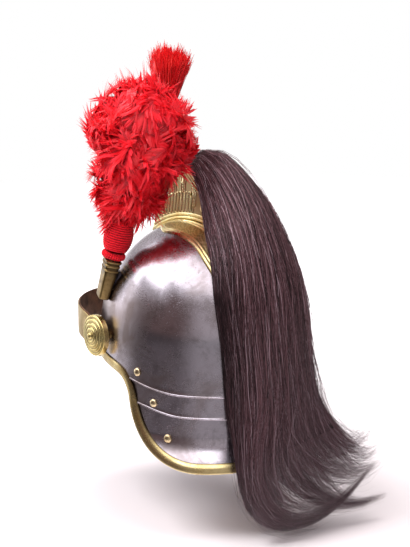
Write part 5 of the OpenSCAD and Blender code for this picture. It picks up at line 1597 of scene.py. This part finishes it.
def makeTuft():
    f = tuft
    rng = np.random.default_rng(f["seed"])
    count = f["guides"] // 1
    r = np.sqrt(rng.uniform(0, 1, count))
    a = rng.uniform(0, 2 * pi, count)
    length = f["length"] * rng.uniform(f["shortest"], 1.0, count) * (1 - 0.08 * r ** 2)
    k = np.linspace(0, 1, 12)[None]
    wide = f["root"] + (f["top"] - f["root"]) * k ** 1.35
    x = (r * np.cos(a))[:, None] * wide + rng.normal(0, f["bend"], (count, 1)) * k ** 2
    y = (r * np.sin(a))[:, None] * wide + rng.normal(0, f["bend"], (count, 1)) * k ** 2
    z = f["start"] - f["sunk"] + length[:, None] * k * (1 - 0.05 * (r ** 2)[:, None] * k)
    c, s = turned(f["lean"])
    paths = np.stack([x, y * c + z * s, z * c - y * s], -1) + np.array(f["foot"])
    growPiece("tuft_bristles", guideObject("tuft_guides", paths), strandTree,
              {"Strands": f["strands"], "Root spread": f["rootSpread"] * mm, "Tip spread": f["tipSpread"] * mm,
               "Hair radius": f["hairRadius"] * mm, "Waviness": f["waviness"] * mm, "Wave size": f["waveSize"],
               "Shortest": f["strandShortest"], "Tip width": f["tipWidth"], "Seed": 4},
              tuftHair, "tuft", ["tuft"], "tuft_hair")


makeTuft()
print("stage: tuft")


# Chin strap

strap = dict(centre=-60, halfWidth=90, reach=90, rise=15, axisY=-46, width=33, end=10.7, taper=30, corner=0.35,
             leather=1.2, facing=0.8, gap=0.2, facingEnd=85, claspHalf=7, eyelet=4.8)


# half the strap's width at y: narrow at the studs, full in front of them
def strapHalf(y):
    return strap["end"] + (strap["width"] / 2 - strap["end"]) * smoothStep((strap["axisY"] - y - 3) / strap["taper"])


# height of the strap's middle at y
def strapRise(y):
    return strap["rise"] * (strap["axisY"] - y) / (strap["axisY"] - strap["centre"] + strap["reach"])


def strapSection(degrees, out, thick, trim):
    edge = strap["corner"]
    c, s = turned(degrees)
    p, q = (np.array([(strap["halfWidth"] + o) * s, strap["centre"] - (strap["reach"] + o) * c])
            for o in (out, out + thick))
    z, h = strapRise(p[1]), strapHalf(p[1]) - trim
    inner, outer = [], []
    for k in np.concatenate([[-1, -1 + edge / h], np.linspace(-0.93, 0.93, 9), [1 - edge / h, 1]]):
        # bowed a little, with its outer corners rounded
        f = 1 - 0.4 * (abs(k) == 1) + 0.1 * (1 - k ** 2)
        inner.append([*p, z + h * k])
        outer.append([*(p + (q - p) * f), z + h * k])
    return np.array(inner + outer[::-1])


def makeStrap():
    s = strap
    given = (strapLeather, "chin_strap", ["strap_lining"], "strap_leather", 40)
    points, faces = skinLoops([strapSection(a, 0, s["leather"], 0) for a in np.linspace(-90, 90, 110)])
    addPiece("strap_leather", points, faces, *given)
    # the flat ends that turn on the studs
    y, z, h = s["centre"], strapRise(s["centre"]), float(strapHalf(s["centre"]))
    rim = [(s["axisY"] + s["end"] * math.cos(b), s["end"] * math.sin(b)) for b in np.linspace(-pi / 2, pi / 2, 40)]
    rim += [(y, z + h), (y, z - h)]
    ways = [math.atan2(z, y - s["axisY"]) for y, z in rim]
    r = s["eyelet"] + 0.2
    hole = [(s["axisY"] + r * math.cos(b), r * math.sin(b)) for b in ways]
    for side, name in ((1, "left"), (-1, "right")):
        near, far = side * s["halfWidth"], side * (s["halfWidth"] + s["leather"])
        points = np.array([(x, *place) for x, line in ((near, rim), (far, rim), (far, hole), (near, hole))
                           for place in line], float)
        faces = turnOutward(points, rowFaces(4, len(rim), closedRows=True))
        addPiece("strap_end_" + name, points, faces, *given)
    start = math.degrees(math.asin(s["claspHalf"] / s["halfWidth"])) + 0.6
    for side, name in ((1, "left"), (-1, "right")):
        points, faces = skinLoops([strapSection(side * a, s["leather"] + s["gap"], s["facing"], 1)
                                   for a in np.linspace(start, s["facingEnd"], 80)])
        addPiece("strap_plate_" + name, points, faces, strapBrass, "chin_strap", ["strap_facing_" + name],
                 "strap_brass", 40)


makeStrap()


# Lining

liner = dict(low=-18, high=12, sheet=2, seat=0.9, lean=4.4, leaves=8, leafSheet=1.2, leafFoot=1, leafRise=83,
             leafHalf=(20.5, 13), leafGap=0.6, leafPuff=0.8)


def bandOut(z):
    return -helmet["sheet"] - liner["seat"] - liner["lean"] * (z - liner["low"]) / (liner["high"] - liner["low"])


def makeLiner():
    t = np.linspace(0, 360, 180, endpoint=False)
    down = np.linspace(0, 1, 8)
    rows = []
    for ks, thick, puff in ((down, 0, 0.3), (down[::-1], liner["sheet"], 0.5)):
        for k in ks:
            z = liner["high"] + (liner["low"] - liner["high"]) * k
            rows.append(onSkull(t, np.full_like(t, z), bandOut(z) - thick - puff * math.sin(pi * k)))
    points = np.array(rows).reshape(-1, 3)
    addPiece("liner_band", points, turnOutward(points, rowFaces(16, 180, closedRows=True)), linerLeather, "helmet",
             ["sweatband"], "liner_leather", 40)
    wide, narrow = liner["leafHalf"]
    puff = liner["leafPuff"] * np.cos(np.linspace(-pi / 2, pi / 2, 13))
    allPoints, allFaces = [], []
    for i in range(liner["leaves"]):
        middle = 360 * (i + 0.5) / liner["leaves"]
        loops = []
        for k in np.linspace(0, 1, 22):
            z = liner["leafFoot"] + liner["leafRise"] * k ** 0.85
            spread = wide + (narrow - wide) * k
            spread *= math.sqrt(max(0.02, 1 - max(0, (k - 0.86) / 0.15) ** 2))  # rounds the tip
            out = bandOut(z) - liner["sheet"] - liner["leafGap"]
            a = np.linspace(middle - spread, middle + spread, 13)
            upper = np.array([onSkull(q, z, out - p) for q, p in zip(a, puff)])
            lower = np.array([onSkull(q, z, out - liner["leafSheet"] - p) for q, p in zip(a, puff)])
            loops.append(np.concatenate([upper, lower[::-1]]))
        points, faces = skinLoops(loops)
        allFaces += [tuple(q + len(points) * i for q in f) for f in faces]
        allPoints.append(points)
    addPiece("liner_leaves", np.concatenate(allPoints), allFaces, linerLeather, "helmet", ["lining_leaves"],
             "liner_leather", 40)


makeLiner()

# domed rivets of the neck guard, one shape set at every place by a tree
rivets = dict(places=((100, -28), (110, -57), (118.5, -91)), radius=4.35, rise=2.4)


# one domed head on each point, standing along that point's "outward" way
def makeHeadTree():
    tree, g = startTree("domed heads on points", {"Head radius": 0.004, "Head rise": 0.002, "Seed": 1})
    ball = addNode(tree, "GeometryNodeMeshUVSphere", {"Segments": 32, "Rings": 20, "Radius": 1.0})
    # its lower half is pressed flat onto the plate
    parts = partsOf(tree, addNode(tree, "GeometryNodeInputPosition").outputs[0])
    flat = mathOf(tree, "MAXIMUM", parts["Z"], 0.0)
    flat = addNode(tree, "ShaderNodeCombineXYZ", {"X": parts["X"], "Y": parts["Y"], "Z": flat})
    dome = addNode(tree, "GeometryNodeSetPosition", {"Geometry": ball.outputs["Mesh"], "Position": flat.outputs[0]})
    size = addNode(tree, "ShaderNodeCombineXYZ", {"X": g["Head radius"], "Y": g["Head radius"], "Z": g["Head rise"]})
    head = addNode(tree, "GeometryNodeTransform", {"Geometry": dome.outputs[0], "Scale": size.outputs[0]})
    turn = addNode(tree, "FunctionNodeAlignRotationToVector", {"Vector": recall(tree, "outward", "FLOAT_VECTOR")},
                   axis="Z")
    worn = addNode(tree, "FunctionNodeRandomValue", {"Min_001": 0.97, "Max_001": 1.03, "Seed": g["Seed"]},
                   data_type="FLOAT")
    many = addNode(tree, "GeometryNodeInstanceOnPoints",
                   {"Points": g["Geometry"], "Instance": head.outputs[0], "Rotation": turn.outputs[0],
                    "Scale": socketOf(worn.outputs, "Value_001")})
    return endTree(tree, many.outputs[0], g["Material"])


def makeRivets():
    places, ways = [], []
    for side in (1, -1):
        for (t, z), inset in zip(rivets["places"], (0, middleInset, lowerInset)):
            ways.append(skullWay(t, z) * np.array([side, 1, 1]))
            places.append(onSkull(t, z, -inset) * np.array([side, 1, 1]) + ways[-1] * helmet["seat"])
    mesh = pointMesh("rivet_points", places)
    setWays(mesh, "outward", ways)
    settings = {"Head radius": rivets["radius"] * mm, "Head rise": rivets["rise"] * mm, "Seed": 4}
    growPiece("guard_rivets", addObject("rivet_points", mesh), makeHeadTree(), settings, rivetBrass, "helmet",
              ["neck_rivets"], "rivet_brass")


makeRivets()
print("stage: strap, lining and rivets")
